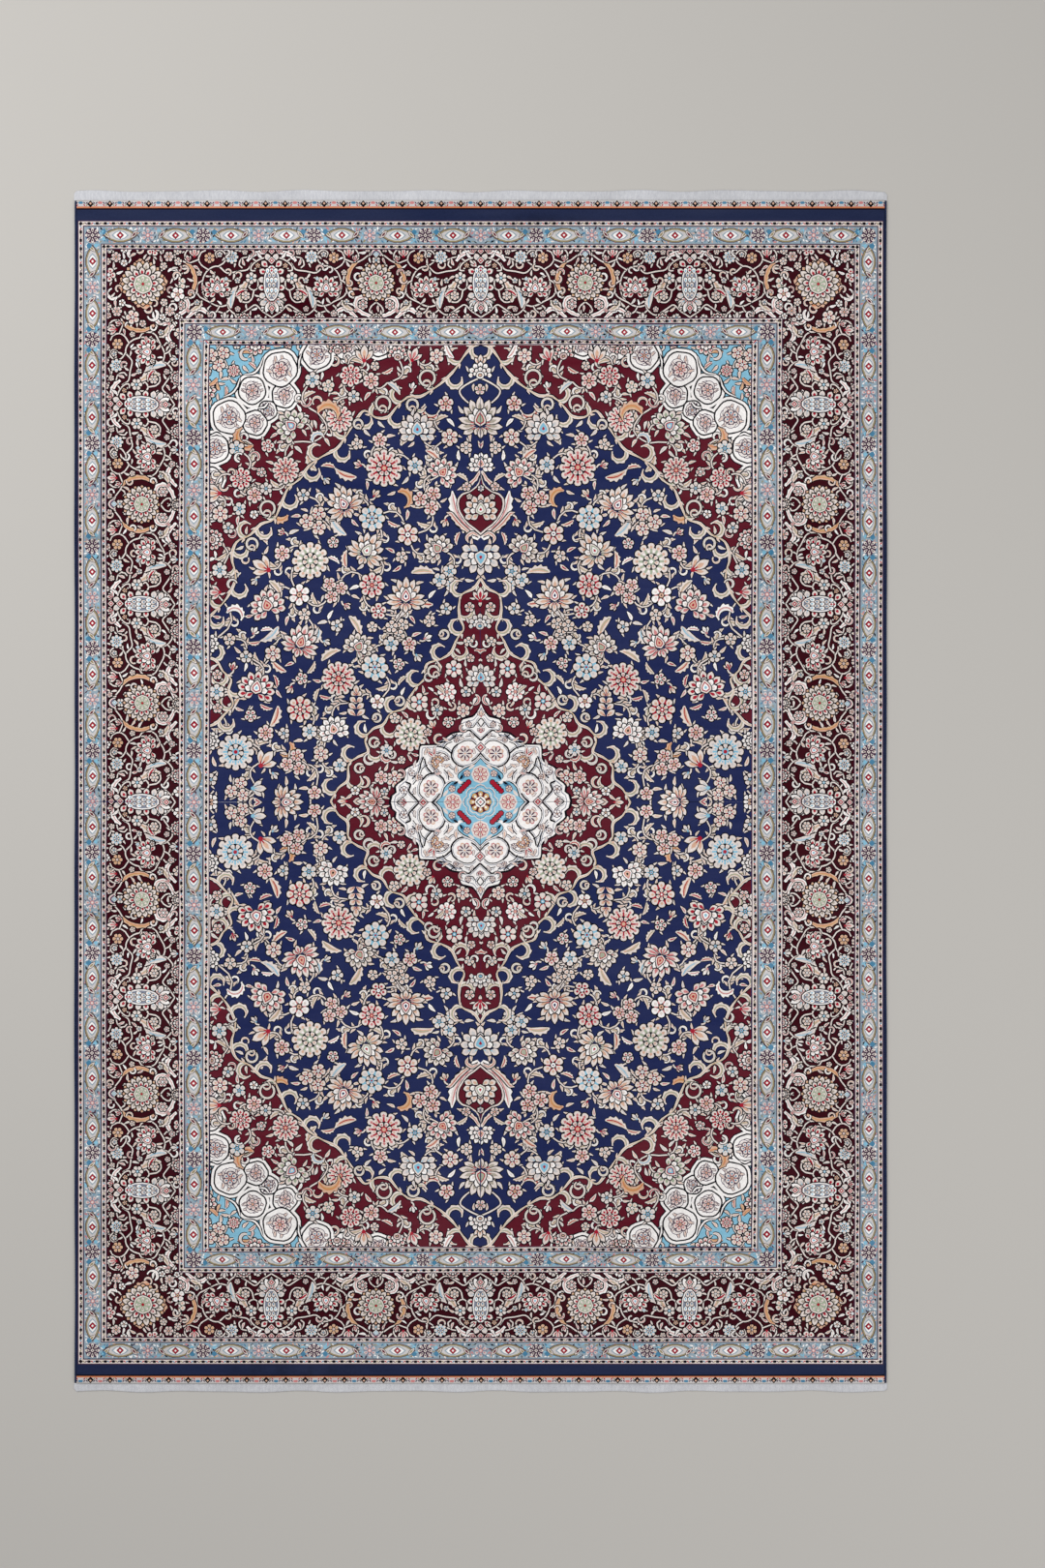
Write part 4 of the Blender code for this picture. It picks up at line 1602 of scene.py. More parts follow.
@dataclass
class Loom:
    """Turns a chart into a mesh whose faces don't overlap, each in its yarn's colour.

    Attributes:
        chart: The pattern.
        weld: Points nearer than this become one, in millimetres.
        slack: How far a simpler outline may stray from the drawn one.
        grid: Spacing of the points that let the mesh follow the rug's swells.
        rim: Spacing of the points along a stretch's own edges.
    """

    chart: Chart
    weld: float = 0.2
    slack: float = 0.7
    grid: float = 40.0
    rim: float = 12.0

    def weave(self, low: Pair, high: Pair, rounded: tuple[float, ...]) -> Cut:
        """Cuts one rectangle of the chart into triangles.

        Args:
            low: The rectangle's lower corner, in millimetres.
            high: Its upper corner.
            rounded: Distances in from the rug's rim at which the mesh needs points.

        Returns:
            The stretch's mesh.
        """
        rough = self.cut(low, high)
        seams = self.seams(rough)
        points, seams = self.simplify(rough.points, seams)
        return self.fill(points, seams, self.spread_points(low, high, rounded))

    def cut(self, low: Pair, high: Pair) -> Cut:
        """Cuts the rectangle along every outline, the hidden ones too."""
        least, most = np.asarray(low), np.asarray(high)
        corners = np.array([low, (high[0], low[1]), high, (low[0], high[1])], float)
        shapes = [
            (outline, dye)
            for outline, dye in self.chart.shapes
            if (outline.min(axis=0) < most).all() and (outline.max(axis=0) > least).all()
        ]
        outlines = [corners] + [outline for outline, _ in shapes]
        edges = []
        start = 0
        for outline in outlines:
            ring = range(start, start + len(outline))
            edges.extend(zip(ring, [*ring[1:], start]))
            start += len(outline)
        points = [Vector(point) for point in np.vstack(outlines)]
        verts, _, tris, _, _, _ = delaunay_2d_cdt(points, edges, [], 0, self.weld, False)
        places, triangles = np.array([tuple(vert) for vert in verts]), np.array(tris)
        middles = places[triangles].mean(axis=1)
        inside = ((middles > least) & (middles < most)).all(axis=1)
        triangles, middles = triangles[inside], middles[inside]
        return Cut(places, triangles, self.top_shades(middles, shapes))

    def top_shades(self, middles: np.ndarray, shapes: list[tuple[np.ndarray, Dye]]) -> np.ndarray:
        """The colour number of the last shape laid over each of these points."""
        order = np.argsort(middles[:, 0])
        xs, ys = middles[order].T
        shades = np.zeros(len(middles), int)
        numbers = {dye: index for index, dye in enumerate(Dye)}
        for outline, dye in shapes:
            (x_low, y_low), (x_high, y_high) = outline.min(axis=0), outline.max(axis=0)
            first, last = np.searchsorted(xs, (x_low, x_high))
            near = first + np.flatnonzero((ys[first:last] > y_low) & (ys[first:last] < y_high))
            if not len(near):
                continue
            x, y = xs[near][:, None], ys[near][:, None]
            x1, y1 = outline.T
            x2, y2 = np.roll(outline, -1, axis=0).T
            with np.errstate(divide="ignore", invalid="ignore"):
                crossed = ((y1 > y) != (y2 > y)) & (x < (x2 - x1) * (y - y1) / (y2 - y1) + x1)
            shades[near[crossed.sum(axis=1) % 2 == 1]] = numbers[dye]
        back = np.empty_like(shades)
        back[order] = shades
        return back

    def seams(self, cut: Cut) -> np.ndarray:
        """The edges where the colour changes: start, end, colour on the left, colour on the right."""
        ends, owners = directed_edges(cut.triangles)
        codes = ends.min(axis=1) * len(cut.points) + ends.max(axis=1)
        order = np.argsort(codes, kind="stable")
        codes, ends, owners = codes[order], ends[order], owners[order]
        first = np.flatnonzero(np.r_[True, codes[1:] != codes[:-1]])
        second = np.minimum(first + 1, len(codes) - 1)
        paired = (second > first) & (codes[second] == codes[first])
        left = cut.shades[owners[first]]
        right = np.where(paired, cut.shades[owners[second]], -1)
        return np.column_stack([ends[first], left, right])[left != right]

    def simplify(self, points: np.ndarray, seams: np.ndarray) -> tuple[np.ndarray, np.ndarray]:
        """Drops the points that a seam can do without.

        Args:
            points: All the points.
            seams: The edges where the colour changes.

        Returns:
            The points that are left, and the seams between them.
        """
        near: dict[int, list[tuple[int, int]]] = {}
        for index, (start, end, _, _) in enumerate(seams.tolist()):
            near.setdefault(start, []).append((end, index))
            near.setdefault(end, []).append((start, index))
        knots = {vert for vert, others in near.items() if len(others) != 2}
        kept: list[tuple[int, int, int, int]] = []
        used: set[int] = set()
        rows = seams.tolist()
        for vert in list(knots) + list(near):
            for other, index in near[vert]:
                if index in used:
                    continue
                chain = [vert, other]
                used.add(index)
                while chain[-1] not in knots and chain[-1] != vert:
                    onward = [step for step in near[chain[-1]] if step[1] not in used]
                    if not onward:
                        break
                    used.add(onward[0][1])
                    chain.append(onward[0][0])
                start, _, left, right = rows[index]
                if start != vert:
                    left, right = right, left
                line = self.thin(points[chain], right < 0 or left < 0)
                kept.extend((chain[a], chain[b], left, right) for a, b in zip(line, line[1:]))
        table = np.array(kept)
        names, flat = np.unique(table[:, :2], return_inverse=True)
        table[:, :2] = flat.reshape(-1, 2)
        return points[names], table

    def thin(self, line: np.ndarray, straight: bool) -> list[int]:
        """Which points of a line have to stay for it to keep within the slack."""
        last = len(line) - 1
        closed = (line[0] == line[last]).all()
        kept = {0, last}
        waiting = [(0, last)]
        if closed and last > 2:
            far = int(np.abs(line - line[0]).sum(axis=1).argmax())
            kept.add(far)
            waiting = [(0, far), (far, last)]
        while waiting:
            start, end = waiting.pop()
            if end - start < 2:
                continue
            run = line[end] - line[start]
            off = line[start + 1 : end] - line[start]
            size = math.hypot(run[0], run[1])
            gap = np.abs(run[0] * off[:, 1] - run[1] * off[:, 0]) / size if size else np.abs(off).sum(axis=1)
            worst = int(gap.argmax())
            if gap[worst] > (0.02 if straight else self.slack):
                middle = start + 1 + worst
                kept.add(middle)
                waiting += [(start, middle), (middle, end)]
        if closed and len(kept) < 4:
            kept |= {last // 3, 2 * last // 3}
        return sorted(kept)

    def spread_points(self, low: Pair, high: Pair, rounded: tuple[float, ...]) -> np.ndarray:
        """Points over the rectangle and along its edges, which let the mesh bend."""
        across, along = (
            np.linspace(first, last, round((last - first) / self.rim) + 1)
            for first, last in zip(low, high)
        )
        inner = np.stack(
            np.meshgrid(
                np.arange(low[0] + self.grid / 2, high[0], self.grid),
                np.arange(low[1] + self.grid / 2, high[1], self.grid),
            ),
            -1,
        ).reshape(-1, 2)
        whole = Bands().whole
        lines = [np.column_stack([across, np.full(len(across), y)]) for y in (low[1], high[1])]
        lines += [np.column_stack([np.full(len(along), x), along]) for x in (low[0], high[0])]
        for inset in rounded:
            if high[0] >= whole[0]:
                lines.append(np.column_stack([np.full(len(along), whole[0] - inset), along]))
            if high[1] >= whole[1]:
                lines.append(np.column_stack([across, np.full(len(across), whole[1] - inset)]))
        return np.vstack([inner, *lines])

    def fill(self, points: np.ndarray, seams: np.ndarray, extra: np.ndarray) -> Cut:
        """Triangulates between the seams, and colours each triangle from the seam it touches."""
        given = [Vector(point) for point in np.vstack([points, extra])]
        edges = seams[:, :2].tolist()
        verts, lines, tris, _, origins, _ = delaunay_2d_cdt(given, edges, [], 0, self.weld, True)
        places, triangles = np.array([tuple(vert) for vert in verts]), np.array(tris)
        seam_of = np.array([origin[0] if origin else -1 for origin in origins])
        lines = np.array(lines)[seam_of >= 0]
        rows = seams[seam_of[seam_of >= 0]]
        all_points = np.vstack([points, extra])
        drawn = all_points[rows[:, 1]] - all_points[rows[:, 0]]
        found = places[lines[:, 1]] - places[lines[:, 0]]
        along = (drawn * found).sum(axis=1) > 0
        left = np.where(along, rows[:, 2], rows[:, 3])
        right = np.where(along, rows[:, 3], rows[:, 2])
        count = len(places)
        codes = np.concatenate([lines[:, 0] * count + lines[:, 1], lines[:, 1] * count + lines[:, 0]])
        labels = np.concatenate([left, right])
        order = np.argsort(codes)
        codes, labels = codes[order], labels[order]
        ends, owners = directed_edges(triangles)
        asked = ends[:, 0] * count + ends[:, 1]
        slots = np.minimum(np.searchsorted(codes, asked), len(codes) - 1)
        on_seam = codes[slots] == asked
        shades = np.full(len(triangles), -1)
        shades[owners[on_seam]] = labels[slots[on_seam]]
        self.spread_colour(shades, ends, owners, on_seam, count)
        return Cut(places, triangles, shades)

    def spread_colour(
        self, shades: np.ndarray, ends: np.ndarray, owners: np.ndarray, on_seam: np.ndarray, count: int
    ) -> None:
        """Gives each triangle that touches no seam its neighbour's colour."""
        free = ~on_seam
        codes = ends[free].min(axis=1) * count + ends[free].max(axis=1)
        order = np.argsort(codes, kind="stable")
        codes, sharers = codes[order], owners[free][order]
        twins = np.flatnonzero(codes[1:] == codes[:-1])
        first, second = sharers[twins], sharers[twins + 1]
        while (shades < 0).any():
            before = (shades < 0).sum()
            for source, target in ((first, second), (second, first)):
                open_ones = (shades[target] < 0) & (shades[source] >= 0)
                shades[target[open_ones]] = shades[source[open_ones]]
            if (shades < 0).sum() == before:
                shades[shades < 0] = 0


@dataclass
class PilePiece:
    """One stretch of the pile in one quarter, as a closed slab with the pattern on its face.

    Attributes:
        name: The piece's name.
        low: Lower corner of its stretch, in millimetres.
        high: Upper corner.
        side: The sign of X in its quarter.
        end: The sign of Y.
        floor: Height of its underside, in metres.
        folds: Columns or rows that its UV map is laid out in.
        margin: Share of the map kept for the walls and underside.
    """

    name: str
    low: Pair
    high: Pair
    side: int
    end: int
    floor: float = 0.0019
    folds: int = 1
    margin: float = 0.06

    def build(self, cut: Cut, lie: Lie, material: bpy.types.Material) -> bpy.types.Object:
        """Builds the piece.

        Args:
            cut: The quarter's mesh.
            lie: How the rug lies.
            material: The pile's finish.

        Returns:
            The piece.
        """
        mesh = bpy.data.meshes.new(self.name)
        places = lie.place(cut.points * (self.side, self.end))
        faces = cut.triangles if self.side * self.end > 0 else cut.triangles[:, ::-1]
        mesh.from_pydata(places.tolist(), [], faces.tolist())
        colours = np.array([dye.linear() for dye in Dye])[cut.shades]
        yarn = mesh.color_attributes.new(name="yarn", type="FLOAT_COLOR", domain="CORNER")
        yarn.data.foreach_set("color", np.repeat(colours, 3, axis=0).ravel())
        mesh.uv_layers.new(name="OFBake")
        bm = bmesh.new()
        bm.from_mesh(mesh)
        bmesh.ops.triangulate(bm, faces=close_down(bm, self.floor))
        bm.to_mesh(mesh)
        bm.free()
        self.map_face(mesh, cut, faces)
        return new_piece(self.name, mesh, material)

    def map_face(self, mesh: bpy.types.Mesh, cut: Cut, faces: np.ndarray) -> None:
        """Lays out the UV map: the face in folds, the walls and underside in a margin."""
        size = np.asarray(self.high) - self.low
        share = (cut.points - self.low) / size
        corners = share[faces]
        along = 0 if size[0] > size[1] else 1
        row = np.clip(np.floor(corners[:, :, along].mean(axis=1) * self.folds), 0, self.folds - 1)
        inset = 1 - 0.02 * (self.folds > 1)
        corners[:, :, along] = (corners[:, :, along] * self.folds - row[:, None] - 0.5) * inset + 0.5
        corners[:, :, 1 - along] = (corners[:, :, 1 - along] * inset + row[:, None]) / self.folds
        corners[:, :, 1] = self.margin + (1 - self.margin) * corners[:, :, 1]
        count = len(mesh.loops)
        coords = np.empty(len(mesh.vertices) * 3)
        mesh.vertices.foreach_get("co", coords)
        index = np.empty(count, int)
        mesh.loops.foreach_get("vertex_index", index)
        place = coords.reshape(-1, 3)[index]
        rest = np.column_stack(
            [
                np.mod((place[:, 0] + place[:, 1]) / (size.sum() * MM), 1.0),
                np.clip((place[:, 2] - self.floor) / 0.008, 0, 1) * 0.4 * self.margin,
            ]
        )
        top = corners.reshape(-1, 2)
        rest[: len(top)] = top
        mesh.uv_layers["OFBake"].data.foreach_set("uv", rest.ravel())


def add_object(name: str, data: bpy.types.ID) -> bpy.types.Object:
    """Puts a mesh, a lamp or a camera in the scene."""
    made = bpy.data.objects.new(name, data)
    bpy.context.scene.collection.objects.link(made)
    return made


def new_piece(name: str, mesh: bpy.types.Mesh, material: bpy.types.Material) -> bpy.types.Object:
    """Puts a mesh with its finish in the scene, as a piece that rides on the rug."""
    mesh.materials.append(material)
    piece = add_object(name, mesh)
    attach(piece, "root")
    LOG.info("%s: %d faces", name, len(mesh.polygons))
    return piece


def close_down(bm: bmesh.types.BMesh, floor: float) -> list[bmesh.types.BMFace]:
    """Gives an open sheet walls and an underside at this height, and returns the underside."""
    rim = [edge for edge in bm.edges if edge.is_boundary]
    walls = bmesh.ops.extrude_edge_only(bm, edges=rim)["geom"]
    low_rim = [item for item in walls if isinstance(item, bmesh.types.BMEdge) and item.is_boundary]
    for vert in {vert for edge in low_rim for vert in edge.verts}:
        vert.co.z = floor
    return bmesh.ops.holes_fill(bm, edges=low_rim, sides=0)["faces"]


def finished_mesh(name: str, bm: bmesh.types.BMesh) -> bpy.types.Mesh:
    """A smooth mesh of a closed form whose normals all point outwards."""
    bmesh.ops.recalc_face_normals(bm, faces=bm.faces)
    mesh = bpy.data.meshes.new(name)
    bm.to_mesh(mesh)
    bm.free()
    mesh.shade_smooth()
    return mesh


def sheet_mesh(
    name: str, cells: tuple[int, int], place: Callable[[float, float], tuple[float, float, float]]
) -> bpy.types.Mesh:
    """A closed sheet: a grid whose points this function places, closed down to the floor.

    Args:
        name: The mesh's name.
        cells: Divisions across and along.
        place: Gives a top point from its shares across and along.

    Returns:
        The mesh.
    """
    bm = bmesh.new()
    bmesh.ops.create_grid(bm, x_segments=cells[0], y_segments=cells[1], size=0.5)
    for vert in bm.verts:
        vert.co = place(vert.co.x + 0.5, vert.co.y + 0.5)
    close_down(bm, 0.0)
    mesh = finished_mesh(name, bm)
    mesh.set_sharp_from_angle(angle=math.radians(55))
    return mesh


@dataclass
class Foundation:
    """The woven ground that the pile stands on, seen as a thin line along its edges and below."""

    lie: Lie
    thickness: float = 0.0021
    proud: float = 0.0001
    seam: float = 0.0002
    cells: tuple[int, int] = (30, 44)

    def build(self, material: bpy.types.Material) -> bpy.types.Object:
        """Builds the foundation as a closed sheet."""
        inset = self.lie.cord_width + self.seam

        def place(across: float, along: float) -> tuple[float, float, float]:
            """Where a top point goes, from its shares across and along."""
            y = self.lie.foot - self.proud + along * (self.lie.head - self.lie.foot + 2 * self.proud)
            left, right = (self.lie.side_line(side, y) - side * inset for side in (-1, 1))
            return left + across * (right - left), y, self.thickness

        return new_piece("foundation", sheet_mesh("foundation", self.cells, place), material)


@dataclass
class SideCord:
    """The cord along a long side, overcast with slanting wraps of navy yarn.

    Attributes:
        lie: How the rug lies.
        side: -1 for the left cord and 1 for the right.
        pitch: Length of cord that one wrap covers, in metres.
        depth: How far the wraps stand above the grooves between them.
        slant: How far a wrap runs along the cord on its way round, in metres.
        corners: Points round the cord.
    """

    lie: Lie
    side: int
    height: float = 0.0056
    pitch: float = 0.0040
    depth: float = 0.00045
    slant: float = 0.0024
    corners: int = 8

    def build(self, material: bpy.types.Material) -> bpy.types.Object:
        """Builds the cord from a grid that is rolled up and welded."""
        name = "overcast_left" if self.side < 0 else "overcast_right"
        run = self.lie.head - self.lie.foot
        wraps = round(run / self.pitch)
        bm = bmesh.new()
        bmesh.ops.create_grid(bm, x_segments=self.corners, y_segments=2 * wraps, size=0.5)
        half_width, half_height = self.lie.cord_width / 2, self.height / 2
        for vert in bm.verts:
            round_share, along = vert.co.x + 0.5, vert.co.y + 0.5
            angle = 2 * math.pi * (round_share - 0.25)
            ridge = self.depth * (round(along * 2 * wraps) % 2)
            ease = min(along, 1 - along) * run / 0.004
            shrink = math.sqrt(max(0.02, 1 - (1 - ease) ** 2)) if ease < 1 else 1.0
            y = self.lie.foot + along * run + self.slant * math.cos(angle) * min(1.0, ease)
            middle = self.lie.side_line(self.side, y) - self.side * half_width
            square_x = math.copysign(abs(math.cos(angle)) ** 0.8, math.cos(angle))
            square_z = math.copysign(abs(math.sin(angle)) ** 0.8, math.sin(angle))
            x = middle + (half_width - self.depth + ridge) * shrink * square_x
            vert.co = (x, y, half_height + (half_height - self.depth + ridge) * shrink * square_z)
        seam = [vert for vert in bm.verts if vert.is_boundary]
        bmesh.ops.remove_doubles(bm, verts=seam, dist=0.00002)
        bmesh.ops.holes_fill(bm, edges=[edge for edge in bm.edges if edge.is_boundary], sides=0)
        return new_piece(name, finished_mesh(name, bm), material)


@dataclass
class EndStrip:
    """The plain cotton strip sewn across an end, puckered along its outer edge.

    Attributes:
        lie: How the rug lies.
        end: 1 for the head and -1 for the foot.
        waves: How its outer edge wanders.
        crest: The most that the waves reach, in metres.
        pucker: Height of the puckers along the edge.
    """

    lie: Lie
    end: int
    waves: tuple[Wave, ...]
    crest: float
    thickness: float = 0.0030
    rounding: float = 0.0011
    corner: float = 0.006
    pucker: float = 0.0005
    half_length: float = 1.479
    half_width: float = 1.0
    cells: tuple[int, int] = (340, 12)

    def build(self, material: bpy.types.Material) -> bpy.types.Object:
        """Builds the strip as a closed sheet."""
        name = "cotton_strip_head" if self.end > 0 else "cotton_strip_foot"
        sewn = (self.lie.head if self.end > 0 else self.lie.foot) + self.end * self.lie.seam_gap

        def place(across: float, along: float) -> tuple[float, float, float]:
            """Where a top point goes, from its shares across and along."""
            x = (across - 0.5) * 2 * self.half_width
            reach = self.corner - min(self.corner, self.half_width - abs(x))
            taken = self.corner - math.sqrt(self.corner**2 - reach**2)
            edge = self.half_length - self.crest + float(wave_sum(self.waves, x)) - taken
            outer = self.end * edge
            first, last = min(sewn, outer), max(sewn, outer)
            eased = along - 0.16 * math.sin(2 * math.pi * along) / math.pi
            y = first + eased * (last - first)
            rim = min(abs(outer - y), abs(y - sewn) + 0.0004, self.half_width - abs(x))
            fall = self.rounding - math.sqrt(max(0.0, self.rounding**2 - max(0.0, self.rounding - rim) ** 2))
            share = abs(y - sewn) / abs(outer - sewn)
            wrinkle = math.sin(x * 171.0 + 1.7 * math.sin(x * 37.0)) + 0.6 * math.sin(x * 389.0 + y * 120.0)
            groove = 0.0006 * math.exp(-(((share - 0.2) / 0.05) ** 2))
            return x, y, self.thickness - fall - groove + self.pucker * share * wrinkle * 0.6

        return new_piece(name, sheet_mesh(name, self.cells, place), material)


# --------------------------------------------------------------------------- finishes


def new_group(name: str, inputs: dict[str, float | None]) -> bpy.types.NodeTree:
    """Starts a shader node group that gives a colour, a roughness and a height.

    Args:
        name: The group's name.
        inputs: Each input's name and default; a colour has None.

    Returns:
        The group, with its Group Input and Group Output nodes.
    """
    group = bpy.data.node_groups.new(name, "ShaderNodeTree")
    for label, value in inputs.items():
        kind = "NodeSocketColor" if value is None else "NodeSocketFloat"
        socket = group.interface.new_socket(label, in_out="INPUT", socket_type=kind)
        if value is not None:
            socket.default_value = value
    group.interface.new_socket("Color", in_out="OUTPUT", socket_type="NodeSocketColor")
    for label in ("Roughness", "Height"):
        group.interface.new_socket(label, in_out="OUTPUT", socket_type="NodeSocketFloat")
    group.nodes.new("NodeGroupInput")
    group.nodes.new("NodeGroupOutput")
    return group


@dataclass
class Wiring:
    """Short ways to add and join nodes in one tree."""

    tree: bpy.types.NodeTree

    def node(self, kind: str, **settings: object) -> bpy.types.Node:
        """Adds a node and sets its properties."""
        made = self.tree.nodes.new(kind)
        for name, value in settings.items():
            setattr(made, name, value)
        return made

    def join(self, source: Socket, target: Socket) -> None:
        """Links two sockets."""
        self.tree.links.new(source, target)

    def noise(self, coordinates: Socket, scale: float, detail: float = 2.0) -> Socket:
        """A noise value at this many waves a metre."""
        made = self.node("ShaderNodeTexNoise")
        made.inputs["Scale"].default_value = scale
        made.inputs["Detail"].default_value = detail
        self.join(coordinates, made.inputs["Vector"])
        return made.outputs["Fac"]

    def ramp(self, value: Socket, low: float, high: float, to_low: float, to_high: float) -> Socket:
        """Maps a value from one range to another, and holds it there."""
        made = self.node("ShaderNodeMapRange")
        self.join(value, made.inputs["Value"])
        for name, number in (("From Min", low), ("From Max", high), ("To Min", to_low), ("To Max", to_high)):
            made.inputs[name].default_value = number
        return made.outputs["Result"]

    def math(self, operation: str, first: object, second: object) -> Socket:
        """Works out one sum of two sockets or numbers."""
        made = self.node("ShaderNodeMath", operation=operation)
        for socket, value in zip(made.inputs, (first, second)):
            if isinstance(value, Socket):
                self.join(value, socket)
            else:
                socket.default_value = value
        return made.outputs[0]

    def blend(self, first: Socket, second: Socket) -> Socket:
        """Three parts of the first value and two of the second."""
        return self.math("ADD", self.math("MULTIPLY", first, 0.6), self.math("MULTIPLY", second, 0.4))

    def stretched(self, coordinates: Socket, scale: tuple[float, float, float]) -> Socket:
        """The coordinates scaled by a Mapping node."""
        made = self.node("ShaderNodeMapping")
        made.inputs["Scale"].default_value = scale
        self.join(coordinates, made.inputs["Vector"])
        return made.outputs["Vector"]

    def patch(self, coordinates: Socket, mark: "Mark") -> Socket:
        """1 in the middle of a mark, fading to 0 at its rim."""
        moved = self.node("ShaderNodeMapping", vector_type="TEXTURE")
        moved.inputs["Location"].default_value = (*mark.middle, 0.0)
        moved.inputs["Scale"].default_value = (*mark.half, 1.0)
        self.join(coordinates, moved.inputs["Vector"])
        length = self.node("ShaderNodeVectorMath", operation="LENGTH")
        self.join(moved.outputs["Vector"], length.inputs[0])
        return self.ramp(length.outputs["Value"], 0.2, 1.0, 1.0, 0.0)


class Mark(NamedTuple):
    """A soft dark place on the pile, a stain or the painted shade of a crease: its middle and half size in
    metres, and how dark it is.
    """

    middle: Pair
    half: Pair
    depth: float


# Two soiled places along the ends, and two faint creases whose shade is painted in as dark streaks.
SOIL_AND_CREASE_SHADE = (
    Mark((0.139, 1.394), (0.175, 0.034), 0.34),
    Mark((-0.445, -1.423), (0.270, 0.034), 0.40),
    Mark((-0.552, -1.049), (0.165, 0.007), 0.30),
    Mark((-0.950, 0.622), (0.060, 0.020), 0.26),
)


def pile_group() -> bpy.types.NodeTree:
    """The look of short cut pile: uneven dye, brushed patches painted as sheen and shade, soiled places, the
    painted shade of two creases, and tufts in rows.
    """
    group = new_group("cut_pile", {"Yarn": None, "Brushed": 0.1, "Tufts": 0.1})
    wires = Wiring(group)
    given, result = group.nodes["Group Input"], group.nodes["Group Output"]
    place = wires.node("ShaderNodeTexCoord").outputs["Object"]
    patches = wires.noise(wires.stretched(place, (1.0, 1.9, 1.0)), 3.2, 4.0)
    streaks = wires.noise(wires.stretched(place, (1.0, 7.0, 1.0)), 6.0, 3.0)
    tufts = wires.noise(wires.stretched(place, (1.0, 1.25, 1.0)), 420.0, 1.0)
    flecks = wires.noise(place, 150.0, 2.0)
    # Brushed patches: pile laid another way, painted into the colour as lighter sheen and darker shade.
    brushed = wires.blend(patches, streaks)
    painted_sheen = wires.math("MULTIPLY", wires.ramp(brushed, 0.35, 0.65, -1.0, 1.0), given.outputs["Brushed"])
    grain = wires.blend(tufts, flecks)
    speck = wires.math("MULTIPLY", wires.ramp(grain, 0.3, 0.7, -1.0, 1.0), given.outputs["Tufts"])
    value = wires.math("ADD", wires.math("ADD", painted_sheen, speck), 1.0)
    blotches = wires.ramp(wires.noise(place, 26.0, 3.0), 0.38, 0.6, 0.25, 1.0)
    # Darkens the soiled places, and paints the shade that lies in the two creases.
    for mark in SOIL_AND_CREASE_SHADE:
        shade = wires.math("MULTIPLY", wires.patch(place, mark), mark.depth)
        value = wires.math("SUBTRACT", value, wires.math("MULTIPLY", shade, blotches))
    tint = wires.node("ShaderNodeHueSaturation")
    wires.join(given.outputs["Yarn"], tint.inputs["Color"])
    wires.join(value, tint.inputs["Value"])
    wires.join(wires.ramp(brushed, 0.3, 0.7, 1.06, 0.92), tint.inputs["Saturation"])
    wires.join(tint.outputs["Color"], result.inputs["Color"])
    wires.join(wires.ramp(brushed, 0.3, 0.7, 0.96, 0.82), result.inputs["Roughness"])
    wires.join(grain, result.inputs["Height"])
    return group


@dataclass(frozen=True)
class Finish:
    """A cloth finish.

    Attributes:
        name: The finish's name.
        roughness: How dull it is.
        sheen: Weight of its soft sheen.
        relief: Depth of its threads or tufts, in metres.
    """

    name: str = "cloth"
    roughness: float = 0.9
    sheen: float = 0.03
    relief: float = 0.0004

    def start(self) -> tuple[bpy.types.Material, Wiring, bpy.types.Node]:
        """Starts the material: itself, its wiring and its shader."""
        material = bpy.data.materials.new(self.name)
        material.use_nodes = True
        shader = material.node_tree.nodes["Principled BSDF"]
        shader.inputs["Roughness"].default_value = self.roughness
        shader.inputs["Sheen Weight"].default_value = self.sheen
        shader.inputs["Sheen Roughness"].default_value = 0.5
        shader.inputs["Specular IOR Level"].default_value = 0.08
        return material, Wiring(material.node_tree), shader

    def finish(self, wires: Wiring, shader: bpy.types.Node, group: bpy.types.Node) -> None:
        """Joins a group's colour, roughness and height to the shader."""
        bump = wires.node("ShaderNodeBump")
        bump.inputs["Distance"].default_value = self.relief
        bump.inputs["Strength"].default_value = 0.7
        wires.join(group.outputs["Height"], bump.inputs["Height"])
        wires.join(group.outputs["Color"], shader.inputs["Base Color"])
        wires.join(group.outputs["Roughness"], shader.inputs["Roughness"])
        wires.join(bump.outputs["Normal"], shader.inputs["Normal"])


@dataclass(frozen=True)
class PileFinish(Finish):
    """Short cut pile that takes its colour from each face's yarn.

    Attributes:
        brushed: How much the brushed patches lighten and darken it, as painted sheen and shade.
        tufts: How much single tufts differ.
    """

    name: str = "pile"
    brushed: float = 0.10
    tufts: float = 0.14

    def make(self) -> bpy.types.Material:
        """Builds the material."""
        material, wires, shader = self.start()
        yarn = wires.node("ShaderNodeVertexColor", layer_name="yarn")
        pile = wires.node("ShaderNodeGroup", node_tree=pile_group())
        wires.join(yarn.outputs["Color"], pile.inputs["Yarn"])
        pile.inputs["Brushed"].default_value = self.brushed
        pile.inputs["Tufts"].default_value = self.tufts
        self.finish(wires, shader, pile)
        return material


@dataclass(frozen=True)
class WeaveFinish(Finish):
    """Plain weave or wrapped yarn of one colour.

    Attributes:
        colour: The yarn's linear colour.
        shadow: The colour between the threads.
        threads: Threads a metre, across and along.
    """

    colour: tuple[float, float, float] = (0.65, 0.65, 0.68)
    shadow: tuple[float, float, float] = (0.35, 0.35, 0.38)
    threads: Pair = (900.0, 500.0)

    def make(self, weave: bpy.types.NodeTree) -> bpy.types.Material:
        """Builds the material with the shared weave group."""
        material, wires, shader = self.start()
        cloth = wires.node("ShaderNodeGroup", node_tree=weave)
        cloth.inputs["Yarn"].default_value = (*self.colour, 1.0)
        cloth.inputs["Shadow"].default_value = (*self.shadow, 1.0)
        cloth.inputs["Across"].default_value = self.threads[0]
        cloth.inputs["Along"].default_value = self.threads[1]
        self.finish(wires, shader, cloth)
        return material


